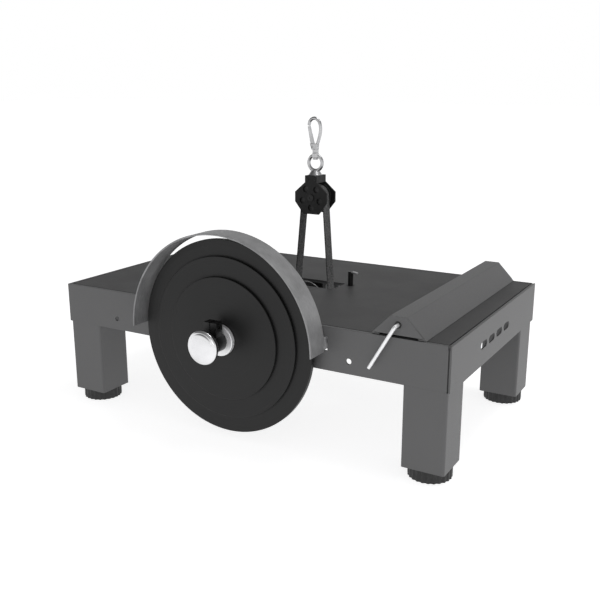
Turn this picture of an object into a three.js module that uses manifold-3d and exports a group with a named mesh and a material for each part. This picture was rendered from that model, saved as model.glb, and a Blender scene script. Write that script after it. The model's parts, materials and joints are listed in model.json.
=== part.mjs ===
// Flywheel training platform: a folded-steel deck on four legs, with a stack of flywheel discs
// beside it. The discs turn a shaft under the deck. A webbing strap runs from the shaft up
// through a slot in the deck, over a pulley block with a snap hook, and back to an anchor pin.
// Millimetres, +Z up. X runs along the deck, and the flywheel is on the -Y side.
// The origin is on the floor, in the middle of the whole part's outline.

import * as THREE from "three";
import { mergeVertices } from "three/addons/utils/BufferGeometryUtils.js";
import Module from "manifold-3d";

const wasm = await Module();
wasm.setup();

// Clearances
const TOUCH_GAP = 0.3; // between pieces that bear on each other
const RUN_GAP = 0.3; // round a pin or shaft in its hole

// Platform
const DECK_LENGTH = 800;
const DECK_WIDTH = 470;
const SHAFT_DROP = 44; // from the top of the mat down to the shaft's centre
const SHEET = 3;
const SKIRT_HEIGHT = 76;
const RIM_WIDTH = 5;
const MAT_RECESS = 3;
const MAT_EDGE_GAP = 2.4;
const CORNER_SEAM = 2.5; // open at the right-hand corners only
const RELIEF_HOLE_R = 2.5;
const RELIEF_HOLE_INSET = 1.5;

// Legs and levelling feet
const LEG_SIZE_X = 75;
const LEG_SIZE_Y = 74;
const LEG_CORNER_R = 4;
const LEG_WALL = 3;
const FOOT_HEIGHT = 19.7;
const FOOT_R = 37;
const FOOT_RIBS = 24;
const FOOT_RIB_DEPTH = 1.6;
const STUD_R = 6;
const STUD_LENGTH = 40;
const FOOT_PLATE = 8;
const FOOT_PLATE_RECESS = 2;

// Shaft and its bearings
const SHAFT_X = -6;
const FLOOR_CLEARANCE = 19; // under the largest disc
const SHAFT_R = 10;
const SHAFT_REAR_REACH = 4; // past the rear housing
const SHAFT_TIP_R = 8;
const SHAFT_TIP_LENGTH = 8;
const BEARING_R = 21;
const BEARING_WIDTH = 12;
const HOUSING_DEPTH = 14;
const HOUSING_HALF = 30;
const HOUSING_FLANGE = 20;
const HOUSING_FLANGE_T = 6;
const SHAFT_HOLE_R = 15;

// Flywheel stack, from the deck outwards
const DISC_STANDOFF = 11; // skirt to the back of the largest disc
const BACKING_R = 45;
const BACKING_T = 7;
const LARGE_R = 174;
const LARGE_T = 10;
const MEDIUM_STEP = 29; // less radius than the disc before it
const MEDIUM_T = 5;
const SMALL_STEP = 35;
const SMALL_T = 5;
const DISC_EDGE = 1;
const HUB_RING_R = 28;
const HUB_RING_T = 9;
const HUB_RING_EDGE = 1.5;
const COLLAR_R = 18;
const COLLAR_LENGTH = 39;
const LUG_WIDTH = 26;
const LUG_DEPTH = 18;
const LUG_TOP = 38;
const LUG_OFFSET = 5; // from the back of the collar
const LUG_SLIT = 2;
const CLAMP_SCREW_R = 4;
const CLAMP_SCREW_HEAD_R = 6.2;
const CLAMP_SCREW_HEAD_T = 7;
const CLAMP_SCREW_RISE = 29;
const CLAMP_SOCKET_R = 3.2;
const CAP_R = 30;
const CAP_RIM_T = 3;
const CAP_BACK_BEVEL = 3;
const CAP_DOME = 9;

// Guard over the flywheel
const GUARD_RISE = 13; // outside the largest disc
const GUARD_T = 3;
const GUARD_DEPTH = 46;
const GUARD_STANDOFF = 1;
const GUARD_TAB_BOTTOM = 3; // above the shaft's height
const GUARD_TAB_HEIGHT = 23;
const GUARD_TAB_REACH = 20; // past the skirt
const GUARD_SLOT_GAP = 1;
const GUARD_SLOT_OUTER_GAP = 4.5;
const BRACKET_T = 3;
const BRACKET_FOOT = 20;
const GUARD_BOLT_R = 2.5;
const GUARD_BOLT_HEAD_R = 4.5;
const GUARD_BOLT_HEAD_T = 3.5;

// Strap, spool and anchor
const STRAP_Y = 15;
const STRAP_WIDTH = 25;
const STRAP_T = 3;
const SPOOL_FLANGE_R = 42;
const SPOOL_FLANGE_T = 3;
const SPOOL_SIDE_GAP = 0.5;
const COIL_T = 2.7;
const ANCHOR_X = 53;
const ANCHOR_DROP = 42; // below the top of the mat
const ANCHOR_PIN_R = 5;
const ANCHOR_HEAD_R = 8;
const ANCHOR_HEAD_T = 4;
const ANCHOR_EAR_HALF = 7;
const ANCHOR_EAR_T = 3;
const ANCHOR_EAR_GAP = 1; // outside the slot
const ANCHOR_FOOT = 22;
const ANCHOR_FOOT_T = 3;
const ANCHOR_PIN_END = 2;
const STRAP_TAIL = 14;
const SLOT_LENGTH = 108;
const SLOT_SIDE_ROOM = 14.5; // beside the strap
const SLOT_X = 21;

// Pulley block
const BLOCK_X = 21.5;
const BLOCK_RISE = 172; // above the top of the mat
const SHEAVE_PITCH_R = 22.5;
const SHEAVE_R = 27;
const SHEAVE_FLANGE_T = 1.4;
const CHEEK_T = 3.5;
const CHEEK_HALF = 35;
const CHEEK_BOTTOM = 31.5;
const CHEEK_BOTTOM_HALF = 17;
const CHEEK_SIDE_LOW = -9;
const CHEEK_SIDE_HIGH = 10;
const CHEEK_SHOULDER = 29;
const CHEEK_NECK_HALF = 13;
const CHEEK_TOP = 42;
const CHEEK_HOLE_R = 6;
const CHEEK_HOLE_CIRCLE_R = 19.5;
const CHEEK_HOLES = 5;
const AXLE_R = 5;
const AXLE_HEAD_R = 6.5;
const AXLE_HEAD_T = 1.6;
const AXLE_SOCKET_R = 2.5;
const SPACER_HEIGHT = 14;
const RIVET_R = 2.5;
const RIVET_SPREAD = 8.5;
const RIVET_HEAD = 0.6;

// Swivel eye and snap hook
const EYE_BASE_R = 13.5;
const EYE_NECK_R = 8;
const EYE_BASE_HEIGHT = 8;
const EYE_STUD_R = 4;
const EYE_STUD_LENGTH = 12;
const EYE_RING_R = 14.5;
const EYE_WIRE_R = 3.5;
const EYE_BOSS_R = 6.5;
const EYE_BOSS_HEIGHT = 9;
const HOOK_SHANK_R = 3;
const HOOK_RIVET_R = 5;
const HOOK_RIVET_T = 3.5;
const HOOK_COLLAR_R = 6;
const HOOK_COLLAR_HEIGHT = 6;
const HOOK_WIRE_R = 3.3;
const JAW_HEIGHT = 11;
const JAW_FOOT_LEFT = 6.5;
const JAW_FOOT_RIGHT = 4.5;
const JAW_LEFT = 10;
const JAW_RIGHT = 5.5;
const JAW_HALF_DEPTH = 5.5;
const GATE_HALF_DEPTH = 2.5;
const GATE_ROOT_HALF = 3.8; // half the gate's width at its pivot
const GATE_TIP_HALF = 2.2;
const GATE_EYE_R = 4.2;
const GATE_PIN_R = 1.4;
const GATE_PIVOT_DX = -5;
const GATE_PIVOT_RISE = 5;
const GATE_NOSE_GAP = 1.8;
const NOSE_DX = -14.5;
const NOSE_RISE = 45;

// Strap release spindle
const SPINDLE_X = 90.5;
const SPINDLE_INSET = 7; // in front of the slot's rear edge
const SPINDLE_R = 5.2;
const SPINDLE_RISE = 28;
const SPINDLE_FLAG_LENGTH = 15;
const SPINDLE_FLAG_WIDTH = 8;
const SPINDLE_FLAG_T = 3;
const SPINDLE_FOOT = 6; // below the anchor pin's centre
const BUSH_R = 8;
const BUSH_FLANGE_R = 12;
const BUSH_FLANGE_T = 4;
const BUSH_LENGTH = 14;
const FINGER_HEIGHT = 9;
const FINGER_HALF = 3.5;
const FINGER_HUB_R = 9;
const FINGER_TIP_X = 54;
const FINGER_REACH = 13; // behind the slot's rear edge

// Foot bar and its latch
const BAR_INSET = 90; // from the deck's right end
const BAR_BASE_HALF = 47;
const BAR_TOP_HALF = 14;
const BAR_HEIGHT = 34;
const BAR_SHEET = 2.5;
const BAR_RETURN = 14;
const BAR_END_RISE = 4;
const BAR_ROD_R = 3;
const BAR_ROD_RISE = 21;
const BAR_ROD_REACH = 12; // past the skirt, to the lever
const BAR_BUSH_R = 5.6;
const BAR_BUSH_LENGTH = 6;
const BAR_BUSH_PROUD = 0.4;
const LEVER_LENGTH = 86.5;
const LEVER_HANG_DEG = 30;
const DOG_HUB_R = 8;
const DOG_T = 6;
const DOG_ARM_LEFT = -4;
const DOG_ARM_RIGHT = 4;
const DOG_TOE_X = 10;
const DOG_TOE_LOW = -17;
const DOG_TOE_HIGH = -11.8;
const KEEPER_T = 2.5;
const KEEPER_WIDTH = 20;
const KEEPER_LIP_START = 5;
const KEEPER_WALL_X = 13;
const KEEPER_FOOT_END = 30;

// Openings cut in the skirts
const END_SLOTS = 4;
const END_SLOT_LENGTH = 32;
const END_SLOT_HEIGHT = 13;
const END_SLOT_PITCH = 42;
const END_SLOT_DROP = 40; // below the top of the mat
const END_SLOT_Y = -14;
const SKIRT_HOLE_R = 5;
const SKIRT_HOLE_DROP = 54;
const SKIRT_HOLE_LEFT_INSET = 125; // from the deck's left end
const SKIRT_HOLE_RIGHT_INSET = 175;

// Levels and places that follow from the sizes above
const halfLength = DECK_LENGTH / 2;
const halfWidth = DECK_WIDTH / 2;
const shaftZ = FLOOR_CLEARANCE + LARGE_R;
const deckTop = shaftZ + SHAFT_DROP;
const anchorZ = deckTop - ANCHOR_DROP;
const blockZ = deckTop + BLOCK_RISE;
const barX = halfLength - BAR_INSET;
const mediumR = LARGE_R - MEDIUM_STEP;
const smallR = mediumR - SMALL_STEP;
const guardR = LARGE_R + GUARD_RISE;
const sheetTop = deckTop - MAT_RECESS;
const sheetBottom = sheetTop - SHEET;
const skirtBottom = deckTop - SKIRT_HEIGHT;
const legBottom = FOOT_HEIGHT + TOUCH_GAP;
const underDeck = sheetBottom - TOUCH_GAP;
const skirtInner = halfWidth - SHEET;
const strapFront = STRAP_Y - STRAP_WIDTH / 2;
const strapRear = STRAP_Y + STRAP_WIDTH / 2;
const slotFront = strapFront - SLOT_SIDE_ROOM;
const slotRear = strapRear + SLOT_SIDE_ROOM;
const spindleY = slotRear - SPINDLE_INSET;
const fingerTipY = slotRear + FINGER_REACH;

// Each outward step of the flywheel stack, as a distance from the platform's middle
const largeBack = halfWidth + DISC_STANDOFF;
const largeFront = largeBack + LARGE_T;
const mediumBack = largeFront + TOUCH_GAP;
const mediumFront = mediumBack + MEDIUM_T;
const smallBack = mediumFront + TOUCH_GAP;
const smallFront = smallBack + SMALL_T;
const ringBack = smallFront + TOUCH_GAP;
const ringFront = ringBack + HUB_RING_T;
const collarBack = ringFront + TOUCH_GAP;
const collarFront = collarBack + COLLAR_LENGTH;
const capBack = collarFront + TOUCH_GAP;
const capRim = capBack + CAP_BACK_BEVEL + CAP_RIM_T;
const capNose = capRim + CAP_DOME;
const shaftTip = collarFront + SHAFT_TIP_LENGTH;

// The middle of the outline from the hub cap to the rear skirt
const originY = (halfWidth - capNose) / 2;

const PAINT = { color: 0x6b6b6b, roughness: 0.5, metalness: 0.3 };
const RUBBER = { color: 0x4f4f4f, roughness: 0.85, metalness: 0 };
const BLACK = { color: 0x232323, roughness: 0.55, metalness: 0.1 };
const STEEL = { color: 0xb4b6b8, roughness: 0.35, metalness: 0.9 };
const CHROME = { color: 0xe4e6e8, roughness: 0.12, metalness: 1 };
const WEBBING = { color: 0x353535, roughness: 0.95, metalness: 0 };

const part = new THREE.Group();
part.name = "flywheel_platform";

function solidOf(geometry) {
  geometry.deleteAttribute("normal");
  geometry.deleteAttribute("uv");
  const merged = mergeVertices(geometry, 1e-4);
  return new wasm.Manifold(
    new wasm.Mesh({
      numProp: 3,
      vertProperties: merged.attributes.position.array,
      triVerts: new Uint32Array(merged.index.array),
    }),
  );
}

function addPart(name, solid, look) {
  const made = solid.getMesh();
  const geometry = new THREE.BufferGeometry();
  geometry.setAttribute("position", new THREE.BufferAttribute(made.vertProperties, 3));
  geometry.setIndex(new THREE.BufferAttribute(made.triVerts, 1));
  const flat = geometry.toNonIndexed();
  flat.computeVertexNormals();
  const mesh = new THREE.Mesh(flat, new THREE.MeshStandardMaterial(look));
  mesh.name = name;
  mesh.position.y = -originY;
  part.add(mesh);
}

function box(x0, x1, y0, y1, z0, z1) {
  const geometry = new THREE.BoxGeometry(x1 - x0, y1 - y0, z1 - z0);
  geometry.translate((x0 + x1) / 2, (y0 + y1) / 2, (z0 + z1) / 2);
  return solidOf(geometry);
}

function rodX(r, x0, x1, y, z, sides = 24) {
  const geometry = new THREE.CylinderGeometry(r, r, x1 - x0, sides);
  geometry.rotateZ(Math.PI / 2);
  geometry.translate((x0 + x1) / 2, y, z);
  return solidOf(geometry);
}

function rodY(r, y0, y1, x, z, sides = 32) {
  const geometry = new THREE.CylinderGeometry(r, r, y1 - y0, sides);
  geometry.translate(x, (y0 + y1) / 2, z);
  return solidOf(geometry);
}

function rodZ(r, z0, z1, x, y, sides = 24) {
  return coneZ(r, r, z0, z1, x, y, sides);
}

function coneZ(rLow, rHigh, z0, z1, x, y, sides = 32) {
  const geometry = new THREE.CylinderGeometry(rHigh, rLow, z1 - z0, sides);
  geometry.rotateX(Math.PI / 2);
  geometry.translate(x, y, (z0 + z1) / 2);
  return solidOf(geometry);
}

// A straight round bar between two points
function bar(r, from, to, sides = 16) {
  const along = new THREE.Vector3().subVectors(to, from);
  const geometry = new THREE.CylinderGeometry(r, r, along.length(), sides);
  const turn = new THREE.Quaternion().setFromUnitVectors(
    new THREE.Vector3(0, 1, 0),
    along.clone().normalize(),
  );
  geometry.applyQuaternion(turn);
  geometry.translate(...new THREE.Vector3().addVectors(from, to).multiplyScalar(0.5).toArray());
  return solidOf(geometry);
}

function ball(r, at, sides = 16) {
  const geometry = new THREE.SphereGeometry(r, sides, sides / 2);
  geometry.translate(at.x, at.y, at.z);
  return solidOf(geometry);
}

// An outline drawn in X and Z, thickened along Y
function plateY(shape, y0, y1, curveSegments = 12) {
  const geometry = new THREE.ExtrudeGeometry(shape, {
    depth: y1 - y0,
    bevelEnabled: false,
    curveSegments,
  });
  geometry.rotateX(Math.PI / 2);
  geometry.translate(0, y1, 0);
  return solidOf(geometry);
}

function plateZ(shape, z0, z1, curveSegments = 12) {
  const geometry = new THREE.ExtrudeGeometry(shape, {
    depth: z1 - z0,
    bevelEnabled: false,
    curveSegments,
  });
  geometry.translate(0, 0, z0);
  return solidOf(geometry);
}

// A turned piece on an axis along Y: each point is a radius and an outward distance
function turned(profile, x, z, sides = 48) {
  const points = profile.map(([r, out]) => new THREE.Vector2(r, out));
  points.push(points[0].clone());
  const geometry = new THREE.LatheGeometry(points, sides);
  geometry.rotateX(Math.PI);
  geometry.translate(x, 0, z);
  return solidOf(geometry);
}

function roundedRect(x0, x1, y0, y1, r) {
  const shape = new THREE.Shape();
  shape.moveTo(x0 + r, y0);
  shape.lineTo(x1 - r, y0);
  shape.absarc(x1 - r, y0 + r, r, -Math.PI / 2, 0);
  shape.lineTo(x1, y1 - r);
  shape.absarc(x1 - r, y1 - r, r, 0, Math.PI / 2);
  shape.lineTo(x0 + r, y1);
  shape.absarc(x0 + r, y1 - r, r, Math.PI / 2, Math.PI);
  shape.lineTo(x0, y0 + r);
  shape.absarc(x0 + r, y0 + r, r, Math.PI, 1.5 * Math.PI);
  return shape;
}

function polygon(points) {
  return new THREE.Shape(points.map(([x, y]) => new THREE.Vector2(x, y)));
}

// A strip of constant thickness along a line of points, with mitred corners
function ribbon(points, thickness) {
  const left = [];
  const right = [];
  points.forEach((point, i) => {
    const before = points[Math.max(i - 1, 0)];
    const after = points[Math.min(i + 1, points.length - 1)];
    const into = new THREE.Vector2().subVectors(i > 0 ? point : after, i > 0 ? before : point);
    const out = new THREE.Vector2().subVectors(
      i < points.length - 1 ? after : point,
      i < points.length - 1 ? point : before,
    );
    const a = into.normalize();
    const b = out.normalize();
    const normal = new THREE.Vector2(-a.y - b.y, a.x + b.x).normalize();
    const mitre = thickness / 2 / Math.max(normal.dot(new THREE.Vector2(-a.y, a.x)), 0.2);
    left.push(point.clone().addScaledVector(normal, mitre));
    right.push(point.clone().addScaledVector(normal, -mitre));
  });
  return new THREE.Shape([...left, ...right.reverse()]);
}

function arcPoints(x, z, r, from, to, steps) {
  const points = [];
  for (let i = 0; i <= steps; i += 1) {
    const angle = from + ((to - from) * i) / steps;
    points.push(new THREE.Vector2(x + r * Math.cos(angle), z + r * Math.sin(angle)));
  }
  return points;
}

// The direction, as an angle, from both centres to the points where one straight line touches
// the same side of two circles
function sharedTangent(x0, z0, r0, x1, z1, r1, side) {
  const heading = Math.atan2(z1 - z0, x1 - x0);
  const distance = Math.hypot(x1 - x0, z1 - z0);
  return heading + side * Math.acos((r0 - r1) / distance);
}

// ---- Platform ----

function skirtOpenings() {
  const through = SHEET + 2;
  const slotZ = deckTop - END_SLOT_DROP;
  const cuts = [];
  for (const end of [-1, 1]) {
    const x = end * (halfLength - SHEET / 2);
    for (let i = 0; i < END_SLOTS; i += 1) {
      const y = END_SLOT_Y + (i - (END_SLOTS - 1) / 2) * END_SLOT_PITCH;
      const r = END_SLOT_HEIGHT / 2;
      const straight = END_SLOT_LENGTH / 2 - r;
      const x0 = x - through / 2;
      const x1 = x + through / 2;
      cuts.push(box(x0, x1, y - straight, y + straight, slotZ - r, slotZ + r));
      cuts.push(rodX(r, x0, x1, y - straight, slotZ));
      cuts.push(rodX(r, x0, x1, y + straight, slotZ));
    }
  }
  const y0 = -halfWidth - 1;
  const y1 = -skirtInner + 1;
  cuts.push(rodY(SHAFT_HOLE_R, y0, y1, SHAFT_X, shaftZ));
  for (const x of [-halfLength + SKIRT_HOLE_LEFT_INSET, halfLength - SKIRT_HOLE_RIGHT_INSET]) {
    cuts.push(rodY(SKIRT_HOLE_R, y0, y1, x, deckTop - SKIRT_HOLE_DROP, 24));
  }
  for (const side of [-1, 1]) {
    const inner = SHAFT_X + side * (guardR - GUARD_T - GUARD_SLOT_GAP);
    const outer = SHAFT_X + side * (guardR + GUARD_SLOT_OUTER_GAP);
    cuts.push(
      box(
        Math.min(inner, outer),
        Math.max(inner, outer),
        y0,
        y1,
        shaftZ + GUARD_TAB_BOTTOM - GUARD_SLOT_GAP,
        shaftZ + GUARD_TAB_BOTTOM + GUARD_TAB_HEIGHT + GUARD_SLOT_GAP,
      ),
    );
  }
  return cuts;
}

function guardTabX(side) {
  const inner = SHAFT_X + side * (guardR - GUARD_T);
  const outer = SHAFT_X + side * guardR;
  return [Math.min(inner, outer), Math.max(inner, outer)];
}

function platformShell() {
  const flapEnd = halfLength - SHEET - CORNER_SEAM;
  const rimInnerX = halfLength - RIM_WIDTH;
  const rimInnerY = halfWidth - RIM_WIDTH;
  let shell = box(-halfLength, halfLength, -halfWidth, halfWidth, sheetBottom, deckTop);
  shell = shell.subtract(
    box(-rimInnerX, rimInnerX, -rimInnerY, rimInnerY, sheetTop, deckTop + 1),
  );
  const lap = sheetBottom + SHEET / 2;
  shell = shell.add(box(-halfLength, flapEnd, -halfWidth, -skirtInner, skirtBottom, lap));
  shell = shell.add(box(-halfLength, flapEnd, skirtInner, halfWidth, skirtBottom, lap));
  shell = shell.add(
    box(halfLength - SHEET, halfLength, -halfWidth, halfWidth, skirtBottom, lap),
  );
  shell = shell.add(
    box(-halfLength, -halfLength + SHEET, -halfWidth, halfWidth, skirtBottom, lap),
  );
  shell = shell.subtract(
    box(
      SLOT_X - SLOT_LENGTH / 2,
      SLOT_X + SLOT_LENGTH / 2,
      slotFront,
      slotRear,
      sheetBottom - 1,
      deckTop + 1,
    ),
  );
  shell = shell.subtract(
    rodZ(BUSH_R + TOUCH_GAP, sheetBottom - 1, deckTop, SPINDLE_X, spindleY),
  );
  const seamX = halfLength - SHEET - CORNER_SEAM / 2;
  for (const side of [-1, 1]) {
    const seamY = side * (halfWidth - RELIEF_HOLE_INSET);
    shell = shell.subtract(
      rodZ(RELIEF_HOLE_R, sheetBottom - 1, deckTop + 1, seamX, seamY, 16),
    );
  }
  for (const cut of skirtOpenings()) {
    shell = shell.subtract(cut);
  }
  return shell;
}

function deckMat() {
  const x = halfLength - RIM_WIDTH - MAT_EDGE_GAP;
  const y = halfWidth - RIM_WIDTH - MAT_EDGE_GAP;
  const z0 = sheetTop + TOUCH_GAP;
  const mat = box(-x, x, -y, y, z0, deckTop);
  const slot = box(
    SLOT_X - SLOT_LENGTH / 2,
    SLOT_X + SLOT_LENGTH / 2,
    slotFront,
    slotRear,
    z0 - 1,
    deckTop + 1,
  );
  const hole = rodZ(BUSH_R + TOUCH_GAP, z0 - 1, deckTop + 1, SPINDLE_X, spindleY);
  return mat.subtract(slot).subtract(hole);
}

addPart("platform_shell", platformShell(), PAINT);
addPart("deck_mat", deckMat(), RUBBER);

// ---- Legs and levelling feet ----

const legOuterX = halfLength - SHEET - TOUCH_GAP;
const legCentreX = legOuterX - LEG_SIZE_X / 2;
const legCentreY = halfWidth - LEG_SIZE_Y / 2;

function leg(sideX, sideY) {
  const cx = sideX * legCentreX;
  const cy = sideY * legCentreY;
  const hx = LEG_SIZE_X / 2;
  const hy = LEG_SIZE_Y / 2;
  const outline = roundedRect(cx - hx, cx + hx, cy - hy, cy + hy, LEG_CORNER_R);
  outline.holes.push(
    roundedRect(
      cx - hx + LEG_WALL,
      cx + hx - LEG_WALL,
      cy - hy + LEG_WALL,
      cy + hy - LEG_WALL,
      LEG_CORNER_R - LEG_WALL,
    ),
  );
  const tube = plateZ(outline, legBottom, underDeck, 4);
  // The wall under the skirt's edge ends where the skirt begins, so both faces are flush.
  const inner = skirtInner - TOUCH_GAP;
  const outer = halfWidth + 1;
  const y0 = sideY > 0 ? inner : -outer;
  const y1 = sideY > 0 ? outer : -inner;
  const notch = box(cx - hx - 1, cx + hx + 1, y0, y1, skirtBottom - TOUCH_GAP, underDeck + 1);
  return tube.subtract(notch);
}

function footPlate(sideX, sideY) {
  const cx = sideX * legCentreX;
  const cy = sideY * legCentreY;
  const hx = LEG_SIZE_X / 2 - LEG_WALL - TOUCH_GAP;
  const hy = LEG_SIZE_Y / 2 - LEG_WALL - TOUCH_GAP;
  const outline = roundedRect(cx - hx, cx + hx, cy - hy, cy + hy, LEG_CORNER_R - LEG_WALL);
  const z0 = legBottom + FOOT_PLATE_RECESS;
  const z1 = z0 + FOOT_PLATE;
  const hole = rodZ(STUD_R + RUN_GAP, z0 - 1, z1 + 1, cx, cy);
  return plateZ(outline, z0, z1, 4).subtract(hole);
}

// A round pad with ribs on its edge for the fingers, and its threaded stud
function foot(sideX, sideY) {
  const cx = sideX * legCentreX;
  const cy = sideY * legCentreY;
  const points = [];
  for (let i = 0; i < FOOT_RIBS * 4; i += 1) {
    const r = i % 4 < 2 ? FOOT_R : FOOT_R - FOOT_RIB_DEPTH;
    const angle = (i / (FOOT_RIBS * 4)) * 2 * Math.PI;
    points.push([cx + r * Math.cos(angle), cy + r * Math.sin(angle)]);
  }
  const pad = plateZ(polygon(points), 0, FOOT_HEIGHT);
  const stud = rodZ(STUD_R, FOOT_HEIGHT / 2, FOOT_HEIGHT + STUD_LENGTH, cx, cy);
  return pad.add(stud);
}

const CORNERS = [
  ["front_left", -1, -1],
  ["front_right", 1, -1],
  ["rear_left", -1, 1],
  ["rear_right", 1, 1],
];
for (const [corner, sideX, sideY] of CORNERS) {
  addPart(`leg_${corner}`, leg(sideX, sideY), PAINT);
  addPart(`foot_plate_${corner}`, footPlate(sideX, sideY), STEEL);
  addPart(`levelling_foot_${corner}`, foot(sideX, sideY), BLACK);
}

// ---- Shaft and bearings ----

function shaftBore(y0, y1, r = SHAFT_R + RUN_GAP) {
  return rodY(r, y0, y1, SHAFT_X, shaftZ);
}

function bearingHousing(y0, y1, top) {
  const block = box(
    SHAFT_X - HOUSING_HALF,
    SHAFT_X + HOUSING_HALF,
    y0,
    y1,
    shaftZ - HOUSING_HALF,
    top,
  );
  return block.subtract(shaftBore(y0 - 1, y1 + 1, BEARING_R + TOUCH_GAP));
}

const frontHousingY = -skirtInner + TOUCH_GAP;
const frontHousing = bearingHousing(
  frontHousingY,
  frontHousingY + HOUSING_DEPTH,
  shaftZ + HOUSING_HALF,
);
const rearHousingEnd = slotRear + HOUSING_DEPTH;
const rearHousing = bearingHousing(slotRear, rearHousingEnd, underDeck).add(
  box(
    SHAFT_X - HOUSING_HALF,
    SHAFT_X + HOUSING_HALF,
    rearHousingEnd - 1,
    rearHousingEnd + HOUSING_FLANGE,
    underDeck - HOUSING_FLANGE_T,
    underDeck,
  ),
);

function bearing(y0) {
  const inset = (HOUSING_DEPTH - BEARING_WIDTH) / 2;
  const a = y0 + inset;
  const b = a + BEARING_WIDTH;
  return shaftBore(a, b, BEARING_R).subtract(shaftBore(a - 1, b + 1));
}

addPart("bearing_housing_front", frontHousing, BLACK);
addPart("bearing_housing_rear", rearHousing, BLACK);
addPart("bearing_front", bearing(frontHousingY), STEEL);
addPart("bearing_rear", bearing(slotRear), STEEL);

const shaft = shaftBore(-collarFront, rearHousingEnd + SHAFT_REAR_REACH, SHAFT_R).add(
  shaftBore(-shaftTip, -collarFront + 1, SHAFT_TIP_R),
);
addPart("drive_shaft", shaft, STEEL);

// ---- Flywheel stack ----

function disc(r, back, front, edge, sides) {
  const bore = SHAFT_R + RUN_GAP;
  return turned(
    [
      [bore, back],
      [r - edge, back],
      [r, back + edge],
      [r, front - edge],
      [r - edge, front],
      [bore, front],
    ],
    SHAFT_X,
    shaftZ,
    sides,
  );
}

const backing = disc(BACKING_R, largeBack - TOUCH_GAP - BACKING_T, largeBack - TOUCH_GAP, 1, 32);
addPart("flywheel_backing_flange", backing, STEEL);
addPart("flywheel_disc_large", disc(LARGE_R, largeBack, largeFront, DISC_EDGE, 64), BLACK);
addPart("flywheel_disc_medium", disc(mediumR, mediumBack, mediumFront, DISC_EDGE, 64), BLACK);
addPart("flywheel_disc_small", disc(smallR, smallBack, smallFront, DISC_EDGE, 56), BLACK);
addPart("hub_ring", disc(HUB_RING_R, ringBack, ringFront, HUB_RING_EDGE, 40), CHROME);

// Split collar with a clamping lug on top
function clampCollar() {
  const lugBack = collarBack + LUG_OFFSET;
  const lugFront = lugBack + LUG_DEPTH;
  const screwY = -(lugBack + lugFront) / 2;
  const screwZ = shaftZ + CLAMP_SCREW_RISE;
  const half = LUG_WIDTH / 2;
  const lug = box(
    SHAFT_X - half,
    SHAFT_X + half,
    -lugFront,
    -lugBack,
    shaftZ,
    shaftZ + LUG_TOP,
  );
  const slit = box(
    SHAFT_X - LUG_SLIT / 2,
    SHAFT_X + LUG_SLIT / 2,
    -collarFront - 1,
    -collarBack + 1,
    shaftZ,
    shaftZ + LUG_TOP + 1,
  );
  const hole = rodX(
    CLAMP_SCREW_R + RUN_GAP,
    SHAFT_X - half - 1,
    SHAFT_X + half + 1,
    screwY,
    screwZ,
  );
  const seat = rodX(
    CLAMP_SCREW_HEAD_R + RUN_GAP,
    SHAFT_X + half - CLAMP_SCREW_HEAD_T - TOUCH_GAP,
    SHAFT_X + half + 1,
    screwY,
    screwZ,
  );
  const collar = shaftBore(-collarFront, -collarBack, COLLAR_R)
    .add(lug)
    .subtract(shaftBore(-collarFront - 1, -collarBack + 1))
    .subtract(slit)
    .subtract(hole)
    .subtract(seat);
  const head = rodX(
    CLAMP_SCREW_HEAD_R,
    SHAFT_X + half - CLAMP_SCREW_HEAD_T,
    SHAFT_X + half,
    screwY,
    screwZ,
  );
  const socket = rodX(
    CLAMP_SOCKET_R,
    SHAFT_X + half - CLAMP_SCREW_HEAD_T / 2,
    SHAFT_X + half + 1,
    screwY,
    screwZ,
    6,
  );
  const shank = rodX(CLAMP_SCREW_R, SHAFT_X - half + 1, SHAFT_X + half - 1, screwY, screwZ);
  return [collar, shank.add(head).subtract(socket)];
}

const [collar, clampScrew] = clampCollar();
addPart("clamp_collar", collar, BLACK);
addPart("clamp_screw", clampScrew, BLACK);

function hubCap() {
  const bore = SHAFT_TIP_R + RUN_GAP;
  const boreEnd = shaftTip + TOUCH_GAP;
  const profile = [
    [0, boreEnd],
    [bore, boreEnd],
    [bore, capBack],
    [CAP_R - CAP_BACK_BEVEL, capBack],
    [CAP_R, capBack + CAP_BACK_BEVEL],
    [CAP_R, capRim],
  ];
  const steps = 6;
  for (let i = 1; i <= steps; i += 1) {
    const angle = ((i / steps) * Math.PI) / 2;
    profile.push([CAP_R * Math.cos(angle), capRim + CAP_DOME * Math.sin(angle)]);
  }
  profile[profile.length - 1][0] = 0;
  return turned(profile, SHAFT_X, shaftZ, 36);
}
addPart("hub_cap", hubCap(), CHROME);

// ---- Guard ----

const guardRear = -halfWidth - GUARD_STANDOFF;

function guardBand() {
  const outline = new THREE.Shape();
  outline.absarc(SHAFT_X, shaftZ, guardR, 0, Math.PI);
  outline.absarc(SHAFT_X, shaftZ, guardR - GUARD_T, Math.PI, 0, true);
  let band = plateY(outline, guardRear - GUARD_DEPTH, guardRear, 40);
  const z0 = shaftZ + GUARD_TAB_BOTTOM;
  for (const side of [-1, 1]) {
    const [x0, x1] = guardTabX(side);
    const tab = box(
      x0,
      x1,
      guardRear - 1,
      -halfWidth + GUARD_TAB_REACH,
      z0,
      z0 + GUARD_TAB_HEIGHT,
    );
    band = band.add(tab).subtract(guardBoltHole(side));
  }
  return band;
}

const guardBoltY = -skirtInner + GUARD_TAB_REACH / 2;
const guardBoltZ = shaftZ + GUARD_TAB_BOTTOM + GUARD_TAB_HEIGHT / 2;

function guardBoltHole(side) {
  const [x0, x1] = guardTabX(side);
  const r = GUARD_BOLT_R + RUN_GAP;
  return rodX(r, x0 - BRACKET_FOOT, x1 + BRACKET_FOOT, guardBoltY, guardBoltZ, 16);
}

function guardBracketFace(side) {
  return SHAFT_X + side * (guardR - GUARD_T - TOUCH_GAP);
}

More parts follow.
